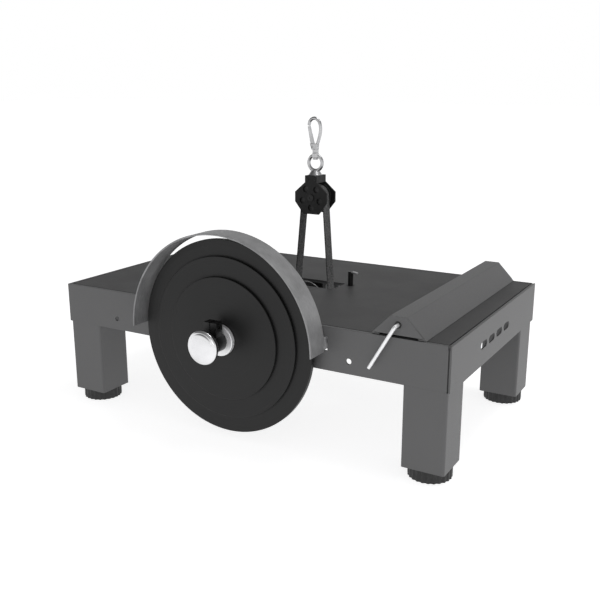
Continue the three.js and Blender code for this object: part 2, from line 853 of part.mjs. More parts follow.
// The angle inside the skirt that each guard tab bolts to
function guardBracket(side) {
  const face = guardBracketFace(side);
  const back = face - side * BRACKET_T;
  const toe = face - side * BRACKET_FOOT;
  const y0 = -skirtInner + TOUCH_GAP;
  const z0 = shaftZ + GUARD_TAB_BOTTOM;
  const z1 = z0 + GUARD_TAB_HEIGHT;
  const wall = box(Math.min(face, back), Math.max(face, back), y0, y0 + GUARD_TAB_REACH, z0, z1);
  const base = box(Math.min(face, toe), Math.max(face, toe), y0, y0 + BRACKET_T, z0, z1);
  return wall.add(base).subtract(guardBoltHole(side));
}

// Head outside the tab, nut inside the bracket
function guardBolt(side) {
  const headSeat = SHAFT_X + side * (guardR + TOUCH_GAP);
  const nutSeat = guardBracketFace(side) - side * (BRACKET_T + TOUCH_GAP);
  const headEnd = headSeat + side * GUARD_BOLT_HEAD_T;
  const nutEnd = nutSeat - side * GUARD_BOLT_HEAD_T;
  const from = Math.min(headEnd, nutEnd);
  const to = Math.max(headEnd, nutEnd);
  const head = rodX(
    GUARD_BOLT_HEAD_R,
    Math.min(headSeat, headEnd),
    Math.max(headSeat, headEnd),
    guardBoltY,
    guardBoltZ,
    16,
  );
  const nut = rodX(
    GUARD_BOLT_HEAD_R,
    Math.min(nutSeat, nutEnd),
    Math.max(nutSeat, nutEnd),
    guardBoltY,
    guardBoltZ,
    6,
  );
  return rodX(GUARD_BOLT_R, from, to, guardBoltY, guardBoltZ, 16).add(head).add(nut);
}

addPart("flywheel_guard", guardBand(), STEEL);
for (const [name, side] of [
  ["left", -1],
  ["right", 1],
]) {
  addPart(`guard_bracket_${name}`, guardBracket(side), STEEL);
  addPart(`guard_bolt_${name}`, guardBolt(side), STEEL);
}

// ---- Spool on the shaft ----

function spoolFlange(y0) {
  const y1 = y0 + SPOOL_FLANGE_T;
  return rodY(SPOOL_FLANGE_R, y0, y1, SHAFT_X, shaftZ, 48).subtract(shaftBore(y0 - 1, y1 + 1));
}
addPart("spool_flange_front", spoolFlange(strapFront - SPOOL_SIDE_GAP - SPOOL_FLANGE_T), STEEL);
addPart("spool_flange_rear", spoolFlange(strapRear + SPOOL_SIDE_GAP), STEEL);

const coilR = SHAFT_R + RUN_GAP + COIL_T;
const coil = shaftBore(strapFront, strapRear, coilR).subtract(
  shaftBore(strapFront - 1, strapRear + 1),
);
addPart("strap_coil", coil, WEBBING);

// ---- Strap: up from the spool, over the sheave, down and round the anchor pin ----

function strapSolid() {
  const leaveR = coilR + TOUCH_GAP + STRAP_T / 2;
  const loopR = ANCHOR_PIN_R + TOUCH_GAP + STRAP_T / 2;
  const leftTouch = sharedTangent(
    SHAFT_X,
    shaftZ,
    leaveR,
    BLOCK_X,
    blockZ,
    SHEAVE_PITCH_R,
    1,
  );
  const rightTouch = sharedTangent(
    ANCHOR_X,
    anchorZ,
    loopR,
    BLOCK_X,
    blockZ,
    SHEAVE_PITCH_R,
    -1,
  );
  const start = arcPoints(SHAFT_X, shaftZ, leaveR, leftTouch, leftTouch, 1).slice(0, 1);
  const over = arcPoints(BLOCK_X, blockZ, SHEAVE_PITCH_R, leftTouch, rightTouch, 20);
  const loop = arcPoints(ANCHOR_X, anchorZ, loopR, rightTouch, -Math.PI, 12);
  const tail = loop[loop.length - 1].clone();
  tail.y += STRAP_TAIL;
  return plateY(ribbon([...start, ...over, ...loop, tail], STRAP_T), strapFront, strapRear);
}
addPart("strap", strapSolid(), WEBBING);

// ---- Strap anchor under the deck ----

function anchorEar(y0, footEnd) {
  const y1 = y0 + ANCHOR_EAR_T;
  const x0 = ANCHOR_X - ANCHOR_EAR_HALF;
  const x1 = ANCHOR_X + ANCHOR_EAR_HALF;
  const ear = box(x0, x1, y0, y1, anchorZ - ANCHOR_EAR_HALF, underDeck);
  const footLow = underDeck - ANCHOR_FOOT_T;
  const foot = box(x0, x1, Math.min(y0, footEnd), Math.max(y1, footEnd), footLow, underDeck);
  const hole = rodY(ANCHOR_PIN_R + RUN_GAP, y0 - 1, y1 + 1, ANCHOR_X, anchorZ);
  return ear.add(foot).subtract(hole);
}
const earFrontY = slotFront - ANCHOR_EAR_GAP - ANCHOR_EAR_T;
const earRearY = slotRear + ANCHOR_EAR_GAP;
const pinHeadY = earFrontY - TOUCH_GAP;
const pinEndY = earRearY + ANCHOR_EAR_T + ANCHOR_PIN_END;
addPart("anchor_ear_front", anchorEar(earFrontY, earFrontY - ANCHOR_FOOT), STEEL);
addPart("anchor_ear_rear", anchorEar(earRearY, earRearY + ANCHOR_FOOT), STEEL);
const anchorPin = rodY(ANCHOR_PIN_R, pinHeadY - 1, pinEndY, ANCHOR_X, anchorZ).add(
  rodY(ANCHOR_HEAD_R, pinHeadY - ANCHOR_HEAD_T, pinHeadY, ANCHOR_X, anchorZ),
);
addPart("anchor_pin", anchorPin, STEEL);

// ---- Pulley block ----

const grooveFront = strapFront - RUN_GAP;
const grooveRear = strapRear + RUN_GAP;
const sheaveFront = grooveFront - SHEAVE_FLANGE_T;
const sheaveRear = grooveRear + SHEAVE_FLANGE_T;
const cheekInnerFront = sheaveFront - TOUCH_GAP;
const cheekInnerRear = sheaveRear + TOUCH_GAP;
const blockFront = cheekInnerFront - CHEEK_T;
const blockRear = cheekInnerRear + CHEEK_T;
const rivetZ = blockZ + CHEEK_TOP - SPACER_HEIGHT / 2;

function cheek(y0) {
  const y1 = y0 + CHEEK_T;
  const outline = polygon([
    [BLOCK_X - CHEEK_BOTTOM_HALF, blockZ - CHEEK_BOTTOM],
    [BLOCK_X + CHEEK_BOTTOM_HALF, blockZ - CHEEK_BOTTOM],
    [BLOCK_X + CHEEK_HALF, blockZ + CHEEK_SIDE_LOW],
    [BLOCK_X + CHEEK_HALF, blockZ + CHEEK_SIDE_HIGH],
    [BLOCK_X + CHEEK_NECK_HALF, blockZ + CHEEK_SHOULDER],
    [BLOCK_X + CHEEK_NECK_HALF, blockZ + CHEEK_TOP],
    [BLOCK_X - CHEEK_NECK_HALF, blockZ + CHEEK_TOP],
    [BLOCK_X - CHEEK_NECK_HALF, blockZ + CHEEK_SHOULDER],
    [BLOCK_X - CHEEK_HALF, blockZ + CHEEK_SIDE_HIGH],
    [BLOCK_X - CHEEK_HALF, blockZ + CHEEK_SIDE_LOW],
  ]);
  let plate = plateY(outline, y0, y1);
  plate = plate.subtract(rodY(AXLE_R + RUN_GAP, y0 - 1, y1 + 1, BLOCK_X, blockZ));
  for (let i = 0; i < CHEEK_HOLES; i += 1) {
    const angle = -Math.PI / 2 + (i / CHEEK_HOLES) * 2 * Math.PI;
    const x = BLOCK_X + CHEEK_HOLE_CIRCLE_R * Math.cos(angle);
    const z = blockZ + CHEEK_HOLE_CIRCLE_R * Math.sin(angle);
    plate = plate.subtract(rodY(CHEEK_HOLE_R, y0 - 1, y1 + 1, x, z, 20));
  }
  return plate.subtract(rivetHoles(y0 - 1, y1 + 1));
}

function rivetHoles(y0, y1) {
  const r = RIVET_R + RUN_GAP;
  const left = rodY(r, y0, y1, BLOCK_X - RIVET_SPREAD, rivetZ, 16);
  return left.add(rodY(r, y0, y1, BLOCK_X + RIVET_SPREAD, rivetZ, 16));
}

addPart("block_cheek_front", cheek(blockFront), BLACK);
addPart("block_cheek_rear", cheek(cheekInnerRear), BLACK);

const grooveR = SHEAVE_PITCH_R - STRAP_T / 2 - TOUCH_GAP;
const sheave = turned(
  [
    [AXLE_R + RUN_GAP, -sheaveRear],
    [SHEAVE_R, -sheaveRear],
    [SHEAVE_R, -grooveRear],
    [grooveR, -grooveRear],
    [grooveR, -grooveFront],
    [SHEAVE_R, -grooveFront],
    [SHEAVE_R, -sheaveFront],
    [AXLE_R + RUN_GAP, -sheaveFront],
  ],
  BLOCK_X,
  blockZ,
  40,
);
addPart("sheave", sheave, BLACK);

function sheaveAxle() {
  const front = blockFront - TOUCH_GAP;
  const rear = blockRear + TOUCH_GAP;
  const pin = rodY(AXLE_R, front - 1, rear + 1, BLOCK_X, blockZ);
  const head = rodY(AXLE_HEAD_R, front - AXLE_HEAD_T, front, BLOCK_X, blockZ);
  const nut = rodY(AXLE_HEAD_R, rear, rear + AXLE_HEAD_T, BLOCK_X, blockZ, 6);
  const socket = rodY(AXLE_SOCKET_R, front - AXLE_HEAD_T - 1, front - 1, BLOCK_X, blockZ, 6);
  return pin.add(head).add(nut).subtract(socket);
}
addPart("sheave_axle", sheaveAxle(), BLACK);

const spacerTop = blockZ + CHEEK_TOP;
const spacer = box(
  BLOCK_X - CHEEK_NECK_HALF,
  BLOCK_X + CHEEK_NECK_HALF,
  cheekInnerFront + TOUCH_GAP,
  cheekInnerRear - TOUCH_GAP,
  spacerTop - SPACER_HEIGHT,
  spacerTop,
)
  .subtract(rivetHoles(blockFront, blockRear))
  .subtract(
    rodZ(EYE_STUD_R + RUN_GAP, spacerTop - SPACER_HEIGHT - 1, spacerTop + 1, BLOCK_X, STRAP_Y),
  );
addPart("block_spacer", spacer, BLACK);
for (const [name, side] of [
  ["left", -1],
  ["right", 1],
]) {
  const x = BLOCK_X + side * RIVET_SPREAD;
  const rivet = rodY(RIVET_R, blockFront - RIVET_HEAD, blockRear + RIVET_HEAD, x, rivetZ, 16);
  addPart(`block_rivet_${name}`, rivet, STEEL);
}

// ---- Swivel eye ----

const eyeBase = spacerTop + TOUCH_GAP;
const ringZ = eyeBase + EYE_BASE_HEIGHT + EYE_RING_R;
const bossLow = ringZ + EYE_RING_R - EYE_BOSS_HEIGHT / 2;
const bossHigh = bossLow + EYE_BOSS_HEIGHT;

function swivelEye() {
  const torus = new THREE.TorusGeometry(EYE_RING_R, EYE_WIRE_R, 12, 36);
  torus.rotateX(Math.PI / 2);
  torus.translate(BLOCK_X, STRAP_Y, ringZ);
  return solidOf(torus)
    .add(coneZ(EYE_BASE_R, EYE_NECK_R, eyeBase, eyeBase + EYE_BASE_HEIGHT, BLOCK_X, STRAP_Y))
    .add(rodZ(EYE_STUD_R, eyeBase - EYE_STUD_LENGTH, eyeBase + 1, BLOCK_X, STRAP_Y))
    .add(rodZ(EYE_BOSS_R, bossLow, bossHigh, BLOCK_X, STRAP_Y))
    .subtract(rodZ(HOOK_SHANK_R + RUN_GAP, bossLow - 1, bossHigh + 1, BLOCK_X, STRAP_Y));
}
addPart("swivel_eye", swivelEye(), CHROME);

// ---- Snap hook ----

const collarLow = bossHigh + TOUCH_GAP;
const jawLow = collarLow + HOOK_COLLAR_HEIGHT;
const jawHigh = jawLow + JAW_HEIGHT;
const gatePivot = new THREE.Vector3(
  BLOCK_X + GATE_PIVOT_DX,
  STRAP_Y,
  jawLow + GATE_PIVOT_RISE,
);
const nose = new THREE.Vector3(BLOCK_X + NOSE_DX, STRAP_Y, jawLow + NOSE_RISE);

function hookBody() {
  const at = (dx, rise) => new THREE.Vector3(BLOCK_X + dx, STRAP_Y, jawLow + rise);
  const spine = new THREE.CatmullRomCurve3([
    at(2, 5),
    at(6.8, 18),
    at(10.8, 37),
    at(7.6, 52),
    at(-2, 58.5),
    at(-11.5, 54),
    nose,
  ]);
  const section = new THREE.Shape();
  section.absarc(0, 0, HOOK_WIRE_R, 0, 2 * Math.PI);
  const wire = new THREE.ExtrudeGeometry(section, {
    steps: 20,
    extrudePath: spine,
    curveSegments: 10,
    bevelEnabled: false,
  });
  const y0 = STRAP_Y - JAW_HALF_DEPTH;
  const y1 = STRAP_Y + JAW_HALF_DEPTH;
  const jawOutline = polygon([
    [BLOCK_X - JAW_FOOT_LEFT, jawLow],
    [BLOCK_X + JAW_FOOT_RIGHT, jawLow],
    [BLOCK_X + JAW_RIGHT, jawHigh],
    [BLOCK_X - JAW_LEFT, jawHigh],
  ]);
  const jaw = plateY(jawOutline, y0, y1);
  const gateSlot = box(
    BLOCK_X - JAW_LEFT - 1,
    gatePivot.x + GATE_EYE_R + 1,
    STRAP_Y - GATE_HALF_DEPTH - RUN_GAP,
    STRAP_Y + GATE_HALF_DEPTH + RUN_GAP,
    gatePivot.z - GATE_EYE_R - RUN_GAP,
    jawHigh + 1,
  );
  const pinHole = rodY(GATE_PIN_R + RUN_GAP, y0 - 1, y1 + 1, gatePivot.x, gatePivot.z, 16);
  const shankLow = bossLow - TOUCH_GAP - HOOK_RIVET_T;
  return rodZ(HOOK_SHANK_R, shankLow, jawLow + 1, BLOCK_X, STRAP_Y)
    .add(rodZ(HOOK_RIVET_R, shankLow, bossLow - TOUCH_GAP, BLOCK_X, STRAP_Y))
    .add(rodZ(HOOK_COLLAR_R, collarLow, jawLow + 1, BLOCK_X, STRAP_Y))
    .add(solidOf(wire))
    .add(jaw)
    .subtract(gateSlot)
    .subtract(pinHole);
}
addPart("hook_body", hookBody(), CHROME);

function hookGate() {
  const reach = new THREE.Vector2(nose.x - gatePivot.x, nose.z - gatePivot.z);
  const pivot = new THREE.Vector2(gatePivot.x, gatePivot.z);
  const tip = pivot.clone().add(reach.clone().setLength(reach.length() - GATE_NOSE_GAP));
  const side = new THREE.Vector2(-reach.y, reach.x).normalize();
  const arm = new THREE.Shape([
    pivot.clone().addScaledVector(side, GATE_ROOT_HALF),
    pivot.clone().addScaledVector(side, -GATE_ROOT_HALF),
    tip.clone().addScaledVector(side, -GATE_TIP_HALF),
    tip.clone().addScaledVector(side, GATE_TIP_HALF),
  ]);
  return rodY(
    GATE_EYE_R,
    STRAP_Y - GATE_HALF_DEPTH,
    STRAP_Y + GATE_HALF_DEPTH,
    gatePivot.x,
    gatePivot.z,
    24,
  )
    .add(plateY(arm, STRAP_Y - GATE_HALF_DEPTH, STRAP_Y + GATE_HALF_DEPTH))
    .subtract(
      rodY(
        GATE_PIN_R + RUN_GAP,
        STRAP_Y - JAW_HALF_DEPTH,
        STRAP_Y + JAW_HALF_DEPTH,
        gatePivot.x,
        gatePivot.z,
        16,
      ),
    );
}
addPart("hook_gate", hookGate(), CHROME);
const gatePin = rodY(
  GATE_PIN_R,
  STRAP_Y - JAW_HALF_DEPTH,
  STRAP_Y + JAW_HALF_DEPTH,
  gatePivot.x,
  gatePivot.z,
  16,
);
addPart("gate_pin", gatePin, STEEL);

// ---- Strap release: a spindle through the deck whose finger keeps the anchor pin in ----

const spindleLow = anchorZ - SPINDLE_FOOT;
const spindleTop = deckTop + SPINDLE_RISE;
const fingerLow = anchorZ - FINGER_HEIGHT / 2;

const spindle = rodZ(SPINDLE_R, spindleLow, spindleTop, SPINDLE_X, spindleY).add(
  box(
    SPINDLE_X,
    SPINDLE_X + SPINDLE_FLAG_LENGTH,
    spindleY - SPINDLE_FLAG_WIDTH / 2,
    spindleY + SPINDLE_FLAG_WIDTH / 2,
    spindleTop - SPINDLE_FLAG_T,
    spindleTop,
  ),
);
addPart("release_spindle", spindle, BLACK);

function spindleBush() {
  const low = sheetTop - BUSH_LENGTH;
  const bore = rodZ(SPINDLE_R + RUN_GAP, low - 1, deckTop + 2, SPINDLE_X, spindleY);
  return rodZ(BUSH_R, low, deckTop, SPINDLE_X, spindleY)
    .add(rodZ(BUSH_FLANGE_R, underDeck - BUSH_FLANGE_T, underDeck, SPINDLE_X, spindleY))
    .subtract(bore);
}
addPart("spindle_bush", spindleBush(), BLACK);

function retainerFinger() {
  const along = new THREE.Vector2(FINGER_TIP_X - SPINDLE_X, fingerTipY - spindleY);
  const side = new THREE.Vector2(-along.y, along.x).normalize().multiplyScalar(FINGER_HALF);
  const outline = polygon([
    [SPINDLE_X + side.x, spindleY + side.y],
    [SPINDLE_X - side.x, spindleY - side.y],
    [FINGER_TIP_X - side.x, fingerTipY - side.y],
    [FINGER_TIP_X + side.x, fingerTipY + side.y],
  ]);
  const high = fingerLow + FINGER_HEIGHT;
  return plateZ(outline, fingerLow, high)
    .add(rodZ(FINGER_HUB_R, fingerLow, high, SPINDLE_X, spindleY))
    .subtract(rodZ(SPINDLE_R + RUN_GAP, fingerLow - 1, high + 1, SPINDLE_X, spindleY));
}
addPart("anchor_retainer", retainerFinger(), STEEL);

// ---- Foot bar ----

const barLow = deckTop + TOUCH_GAP;
const barHigh = barLow + BAR_HEIGHT;
const barRodZ = deckTop + BAR_ROD_RISE;
const barEnd = halfWidth;

function barShell() {
  const inset = BAR_SHEET / 2;
  const mitre = inset * Math.tan(Math.PI / 8);
  const flange = BAR_BASE_HALF - BAR_RETURN;
  const points = [
    [-flange, barLow + inset],
    [-BAR_BASE_HALF + inset + 2 * mitre, barLow + inset],
    [-BAR_TOP_HALF + mitre, barHigh - inset],
    [BAR_TOP_HALF - mitre, barHigh - inset],
    [BAR_BASE_HALF - inset - 2 * mitre, barLow + inset],
    [flange, barLow + inset],
  ].map(([x, z]) => new THREE.Vector2(barX + x, z));
  const end = barEnd - BAR_SHEET - TOUCH_GAP;
  return plateY(ribbon(points, BAR_SHEET), -end, end);
}

function barEndPlate(y0, holeR) {
  const slope = (BAR_BASE_HALF - BAR_TOP_HALF) / BAR_HEIGHT;
  const lowHalf = BAR_BASE_HALF - BAR_END_RISE * slope;
  const outline = polygon([
    [barX - lowHalf, barLow + BAR_END_RISE],
    [barX + lowHalf, barLow + BAR_END_RISE],
    [barX + BAR_TOP_HALF, barHigh],
    [barX - BAR_TOP_HALF, barHigh],
  ]);
  const y1 = y0 + BAR_SHEET;
  return plateY(outline, y0, y1).subtract(rodY(holeR, y0 - 1, y1 + 1, barX, barRodZ, 24));
}

addPart("bar_shell", barShell(), PAINT);
addPart("bar_end_front", barEndPlate(-barEnd, BAR_BUSH_R + TOUCH_GAP), PAINT);
addPart("bar_end_rear", barEndPlate(barEnd - BAR_SHEET, BAR_ROD_R + RUN_GAP), PAINT);

function barBush(y0) {
  const y1 = y0 + BAR_BUSH_LENGTH;
  return rodY(BAR_BUSH_R, y0, y1, barX, barRodZ, 24).subtract(
    rodY(BAR_ROD_R + RUN_GAP, y0 - 1, y1 + 1, barX, barRodZ, 24),
  );
}
addPart("bar_bush", barBush(-barEnd - BAR_BUSH_PROUD), BLACK);

function latchLever() {
  const corner = new THREE.Vector3(barX, -halfWidth - BAR_ROD_REACH, barRodZ);
  const far = new THREE.Vector3(barX, barEnd, barRodZ);
  const hang = THREE.MathUtils.degToRad(LEVER_HANG_DEG);
  const tip = corner
    .clone()
    .add(new THREE.Vector3(-Math.sin(hang), 0, -Math.cos(hang)).multiplyScalar(LEVER_LENGTH));
  return bar(BAR_ROD_R, corner, far)
    .add(ball(BAR_ROD_R, corner))
    .add(bar(BAR_ROD_R, corner, tip))
    .add(ball(BAR_ROD_R, tip));
}
addPart("latch_lever", latchLever(), CHROME);

function latchDog() {
  const arm = polygon([
    [barX + DOG_ARM_LEFT, barRodZ],
    [barX + DOG_ARM_LEFT, barRodZ + DOG_TOE_LOW],
    [barX + DOG_TOE_X, barRodZ + DOG_TOE_LOW],
    [barX + DOG_TOE_X, barRodZ + DOG_TOE_HIGH],
    [barX + DOG_ARM_RIGHT, barRodZ + DOG_TOE_HIGH],
    [barX + DOG_ARM_RIGHT, barRodZ],
  ]);
  const y0 = -DOG_T / 2;
  const y1 = DOG_T / 2;
  return plateY(arm, y0, y1)
    .add(rodY(DOG_HUB_R, y0, y1, barX, barRodZ, 24))
    .subtract(rodY(BAR_ROD_R + RUN_GAP, y0 - 1, y1 + 1, barX, barRodZ, 24));
}

// A hooked plate on the deck that the dog's toe sits under
function latchKeeper() {
  const lipTop = barRodZ + DOG_TOE_HIGH + TOUCH_GAP + KEEPER_T;
  const y0 = -KEEPER_WIDTH / 2;
  const y1 = KEEPER_WIDTH / 2;
  const wallX = barX + KEEPER_WALL_X;
  return box(wallX, barX + KEEPER_FOOT_END, y0, y1, barLow, barLow + KEEPER_T)
    .add(box(wallX, wallX + KEEPER_T, y0, y1, barLow, lipTop))
    .add(box(barX + KEEPER_LIP_START, wallX + KEEPER_T, y0, y1, lipTop - KEEPER_T, lipTop));
}

addPart("latch_dog", latchDog(), STEEL);
addPart("latch_keeper", latchKeeper(), STEEL);

export default part;
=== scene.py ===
"""Looks of the flywheel training platform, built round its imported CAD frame.

Metres, +Z up, in the CAD frame: X runs along the deck and the flywheel is on the -Y side.
Places come from the frame's own boxes.
"""

import json
import math

import bmesh
import bpy
from mathutils import Matrix, Vector

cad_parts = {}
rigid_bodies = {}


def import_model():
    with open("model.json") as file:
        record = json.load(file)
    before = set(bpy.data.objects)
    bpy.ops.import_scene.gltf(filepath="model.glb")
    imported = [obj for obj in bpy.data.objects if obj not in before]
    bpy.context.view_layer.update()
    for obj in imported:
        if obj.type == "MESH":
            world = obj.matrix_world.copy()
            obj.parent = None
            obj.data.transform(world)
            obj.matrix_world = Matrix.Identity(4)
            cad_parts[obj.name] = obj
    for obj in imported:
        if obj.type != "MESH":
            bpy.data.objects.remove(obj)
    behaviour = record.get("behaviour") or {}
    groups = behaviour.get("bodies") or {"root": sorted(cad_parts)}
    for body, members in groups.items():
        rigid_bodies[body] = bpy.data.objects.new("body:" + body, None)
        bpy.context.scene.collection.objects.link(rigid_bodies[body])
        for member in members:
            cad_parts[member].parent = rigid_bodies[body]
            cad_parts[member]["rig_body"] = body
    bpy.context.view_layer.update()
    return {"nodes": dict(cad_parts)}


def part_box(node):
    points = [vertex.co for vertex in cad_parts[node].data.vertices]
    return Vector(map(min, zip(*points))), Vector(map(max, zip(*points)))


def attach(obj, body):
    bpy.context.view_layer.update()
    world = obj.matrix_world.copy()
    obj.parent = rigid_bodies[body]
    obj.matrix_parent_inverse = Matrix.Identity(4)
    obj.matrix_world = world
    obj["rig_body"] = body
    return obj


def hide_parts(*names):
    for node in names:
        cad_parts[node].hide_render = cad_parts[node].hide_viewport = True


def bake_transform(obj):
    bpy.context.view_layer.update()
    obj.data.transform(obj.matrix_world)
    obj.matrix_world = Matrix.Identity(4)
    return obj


MM = 0.001
CORNERS = ("front_left", "front_right", "rear_left", "rear_right")
ENDS = ("front", "rear")
SIDES = ("left", "right")

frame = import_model()
nodes = frame["nodes"]

# ---- Camera ----

CAMERA_PLACE = (0.8007, -1.3300, 0.6274)
CAMERA_TURN_DEG = (75.08, 0.0, 30.29)
CAMERA_LENS_MM = 49.57
CAMERA_SENSOR_MM = 36.0


def make_camera():
    data = bpy.data.cameras.new("camera")
    data.lens = CAMERA_LENS_MM
    data.sensor_width = CAMERA_SENSOR_MM
    camera = bpy.data.objects.new("camera", data)
    camera.location = CAMERA_PLACE
    camera.rotation_euler = [math.radians(a) for a in CAMERA_TURN_DEG]
    bpy.context.scene.collection.objects.link(camera)
    bpy.context.scene.camera = camera


make_camera()


# ---- Looks: procedural materials ----

BLUE_TINT = 1.015


def linear(grey):
    """A display grey from 0 to 1 as a linear colour, with a trace of blue."""
    value = grey / 12.92 if grey <= 0.04045 else ((grey + 0.055) / 1.055) ** 2.4
    return (value, value, value * BLUE_TINT, 1.0)


class Look:
    """A material whose colour, roughness and relief come from noise in the piece's own space."""

    def __init__(self, name, metallic=0.0, **finish):
        self.material = bpy.data.materials.new(name)
        self.material.use_nodes = True
        self.tree = self.material.node_tree
        self.shader = self.tree.nodes["Principled BSDF"]
        self.shader.inputs["Metallic"].default_value = metallic
        for socket, value in finish.items():
            self.shader.inputs[socket.replace("_", " ")].default_value = value
        self.place = self.node("ShaderNodeTexCoord").outputs["Object"]

    def node(self, kind, **settings):
        made = self.tree.nodes.new(kind)
        for key, value in settings.items():
            setattr(made, key, value)
        return made

    def link(self, output, socket):
        self.tree.links.new(output, socket)

    def math(self, operation, a, b=0.0):
        made = self.node("ShaderNodeMath", operation=operation)
        for socket, value in zip(made.inputs, (a, b)):
            if isinstance(value, (int, float)):
                socket.default_value = value
            else:
                self.link(value, socket)
        return made.outputs[0]

    def stretched(self, y):
        """The piece's own space with its Y scaled, so that noise in it is drawn out or pressed."""
        made = self.node("ShaderNodeMapping")
        made.inputs["Scale"].default_value = (1.0, y, 1.0)
        self.link(self.place, made.inputs["Vector"])
        return made.outputs["Vector"]

    def noise(self, per_metre, detail=2.0, place=None):
        made = self.node("ShaderNodeTexNoise")
        made.inputs["Scale"].default_value = per_metre
        made.inputs["Detail"].default_value = detail
        self.link(place or self.place, made.inputs["Vector"])
        return made.outputs["Fac"]

    def cells(self, per_metre):
        made = self.node("ShaderNodeTexVoronoi")
        made.inputs["Scale"].default_value = per_metre
        self.link(self.place, made.inputs["Vector"])
        return made.outputs["Distance"]

    def between(self, value, low, high, start, end):
        """A number from low to high as value goes from start to end."""
        made = self.node("ShaderNodeMapRange")
        settings = (("From Min", start), ("From Max", end), ("To Min", low), ("To Max", high))
        for socket, number in settings:
            made.inputs[socket].default_value = number
        self.link(value, made.inputs["Value"])
        return made.outputs["Result"]

    def mixed(self, first, second, share):
        """One noise laid over another, with the first one's share of the sum."""
        scaled = self.math("MULTIPLY", first, share)
        return self.math("ADD", scaled, self.math("MULTIPLY", second, 1.0 - share))

    def colour(self, value, low, high, start=0.3, end=0.7):
        """Colour from one display grey to another as value goes from start to end."""
        ramp = self.node("ShaderNodeValToRGB")
        ramp.color_ramp.elements[0].position = start
        ramp.color_ramp.elements[0].color = linear(low)
        ramp.color_ramp.elements[1].position = end
        ramp.color_ramp.elements[1].color = linear(high)
        self.link(value, ramp.inputs["Fac"])
        self.link(ramp.outputs["Color"], self.shader.inputs["Base Color"])

    def rough(self, value, low, high, start=0.3, end=0.7):
        """Roughness from low to high as value goes from start to end."""
        self.link(self.between(value, low, high, start, end), self.shader.inputs["Roughness"])

    def relief(self, *layers):
        """Bump layers, each a height and its depth in metres."""
        below = None
        for height, depth in layers:
            bump = self.node("ShaderNodeBump")
            bump.inputs["Distance"].default_value = depth
            self.link(height, bump.inputs["Height"])
            if below:
                self.link(below, bump.inputs["Normal"])
            below = bump.outputs["Normal"]
        self.link(below, self.shader.inputs["Normal"])


def powder_coat(name, low, high, grain=900, gloss=0.5):
    """Satin powder coat: a fine orange peel, and slow, faint changes of tone."""
    look = Look(name, Specular_IOR_Level=gloss)
    slow = look.noise(7, 3)
    peel = look.noise(grain, 2)
    fleck = look.noise(2600, 1)
    look.colour(look.mixed(slow, fleck, 0.7), low, high)
    look.rough(peel, 0.42, 0.56)
    look.relief((peel, 0.06 * MM), (fleck, 0.02 * MM))
    return look.material


def rubber_mat(name, low, high):
    """A thin rubber mat with a pebbled grain, a little scuffed."""
    look = Look(name)
    pebble = look.cells(850)
    scuff = look.noise(9, 4, look.stretched(2.5))
    look.colour(scuff, low, high)
    look.rough(look.noise(14, 2), 0.56, 0.62)
    look.relief((pebble, 0.1 * MM), (look.noise(2400, 2), 0.03 * MM))
    return look.material


def moulded_plastic(name, low, high):
    """Matt black moulding with a fine, even grain."""
    look = Look(name)
    grain = look.cells(1500)
    look.colour(look.noise(40, 3), low, high)
    look.rough(look.noise(120, 2), 0.42, 0.6)
    look.relief((grain, 0.05 * MM))
    return look.material


def blackened_steel(name, low, high, roughness=0.3):
    """Oxide-black steel with a slightly cloudy sheen."""
    look = Look(name, metallic=0.4)
    look.colour(look.noise(160, 3), low, high)
    look.rough(look.noise(90, 3), roughness, roughness + 0.14)
    look.relief((look.noise(1800, 2), 0.02 * MM))
    return look.material


def about_axis(look, axis_x, axis_z):
    """A point's distance from an axis along Y, its angle about it and its place along it."""
    split = look.node("ShaderNodeSeparateXYZ")
    look.link(look.place, split.inputs[0])
    x = look.math("SUBTRACT", split.outputs["X"], axis_x)
    z = look.math("SUBTRACT", split.outputs["Z"], axis_z)
    square = look.math("ADD", look.math("MULTIPLY", x, x), look.math("MULTIPLY", z, z))
    return look.math("SQRT", square), look.math("ARCTAN2", z, x), split.outputs["Y"]


def ringed(look, radius, per_metre):
    """Noise that depends on the radius only, as a lathe leaves it."""
    made = look.node("ShaderNodeCombineXYZ")
    look.link(radius, made.inputs["X"])
    return look.noise(per_metre, 3, made.outputs[0])


def disc_coat(name, low, high, axis_x, axis_z):
    """Black satin coat over turned steel, so faint rings show in the gloss."""
    look = Look(name, Specular_IOR_Level=0.32)
    radius, _, _ = about_axis(look, axis_x, axis_z)
    rings = ringed(look, radius, 420)
    peel = look.noise(1000, 2)
    look.colour(look.noise(12, 3), low, high)
    look.rough(rings, 0.4, 0.54)
    look.relief((rings, 0.03 * MM), (peel, 0.045 * MM))
    return look.material


def brushed_steel(name, low, high, axis_x, axis_z):
    """Satin strip steel, brushed along the band's curve."""
    metres_per_radian = 0.012
    look = Look(name, metallic=0.3)
    radius, turn, y = about_axis(look, axis_x, axis_z)
    made = look.node("ShaderNodeCombineXYZ")
    look.link(look.math("MULTIPLY", turn, metres_per_radian), made.inputs["X"])
    look.link(y, made.inputs["Y"])
    look.link(radius, made.inputs["Z"])
    streak = look.noise(1600, 3, made.outputs[0])
    cloud = look.noise(18, 3)
    look.colour(look.mixed(streak, cloud, 0.5), low, high)
    look.rough(streak, 0.38, 0.54)
    look.relief((streak, 0.02 * MM))
    return look.material


def machined_steel(name, low, high):
    """Turned or plated steel with fine marks drawn out along Y."""
    look = Look(name, metallic=1.0)
    fine = look.noise(900, 3, look.stretched(0.15))
    look.colour(look.noise(70, 3), low, high)
    look.rough(fine, 0.24, 0.38)
    look.relief((fine, 0.015 * MM))
    return look.material


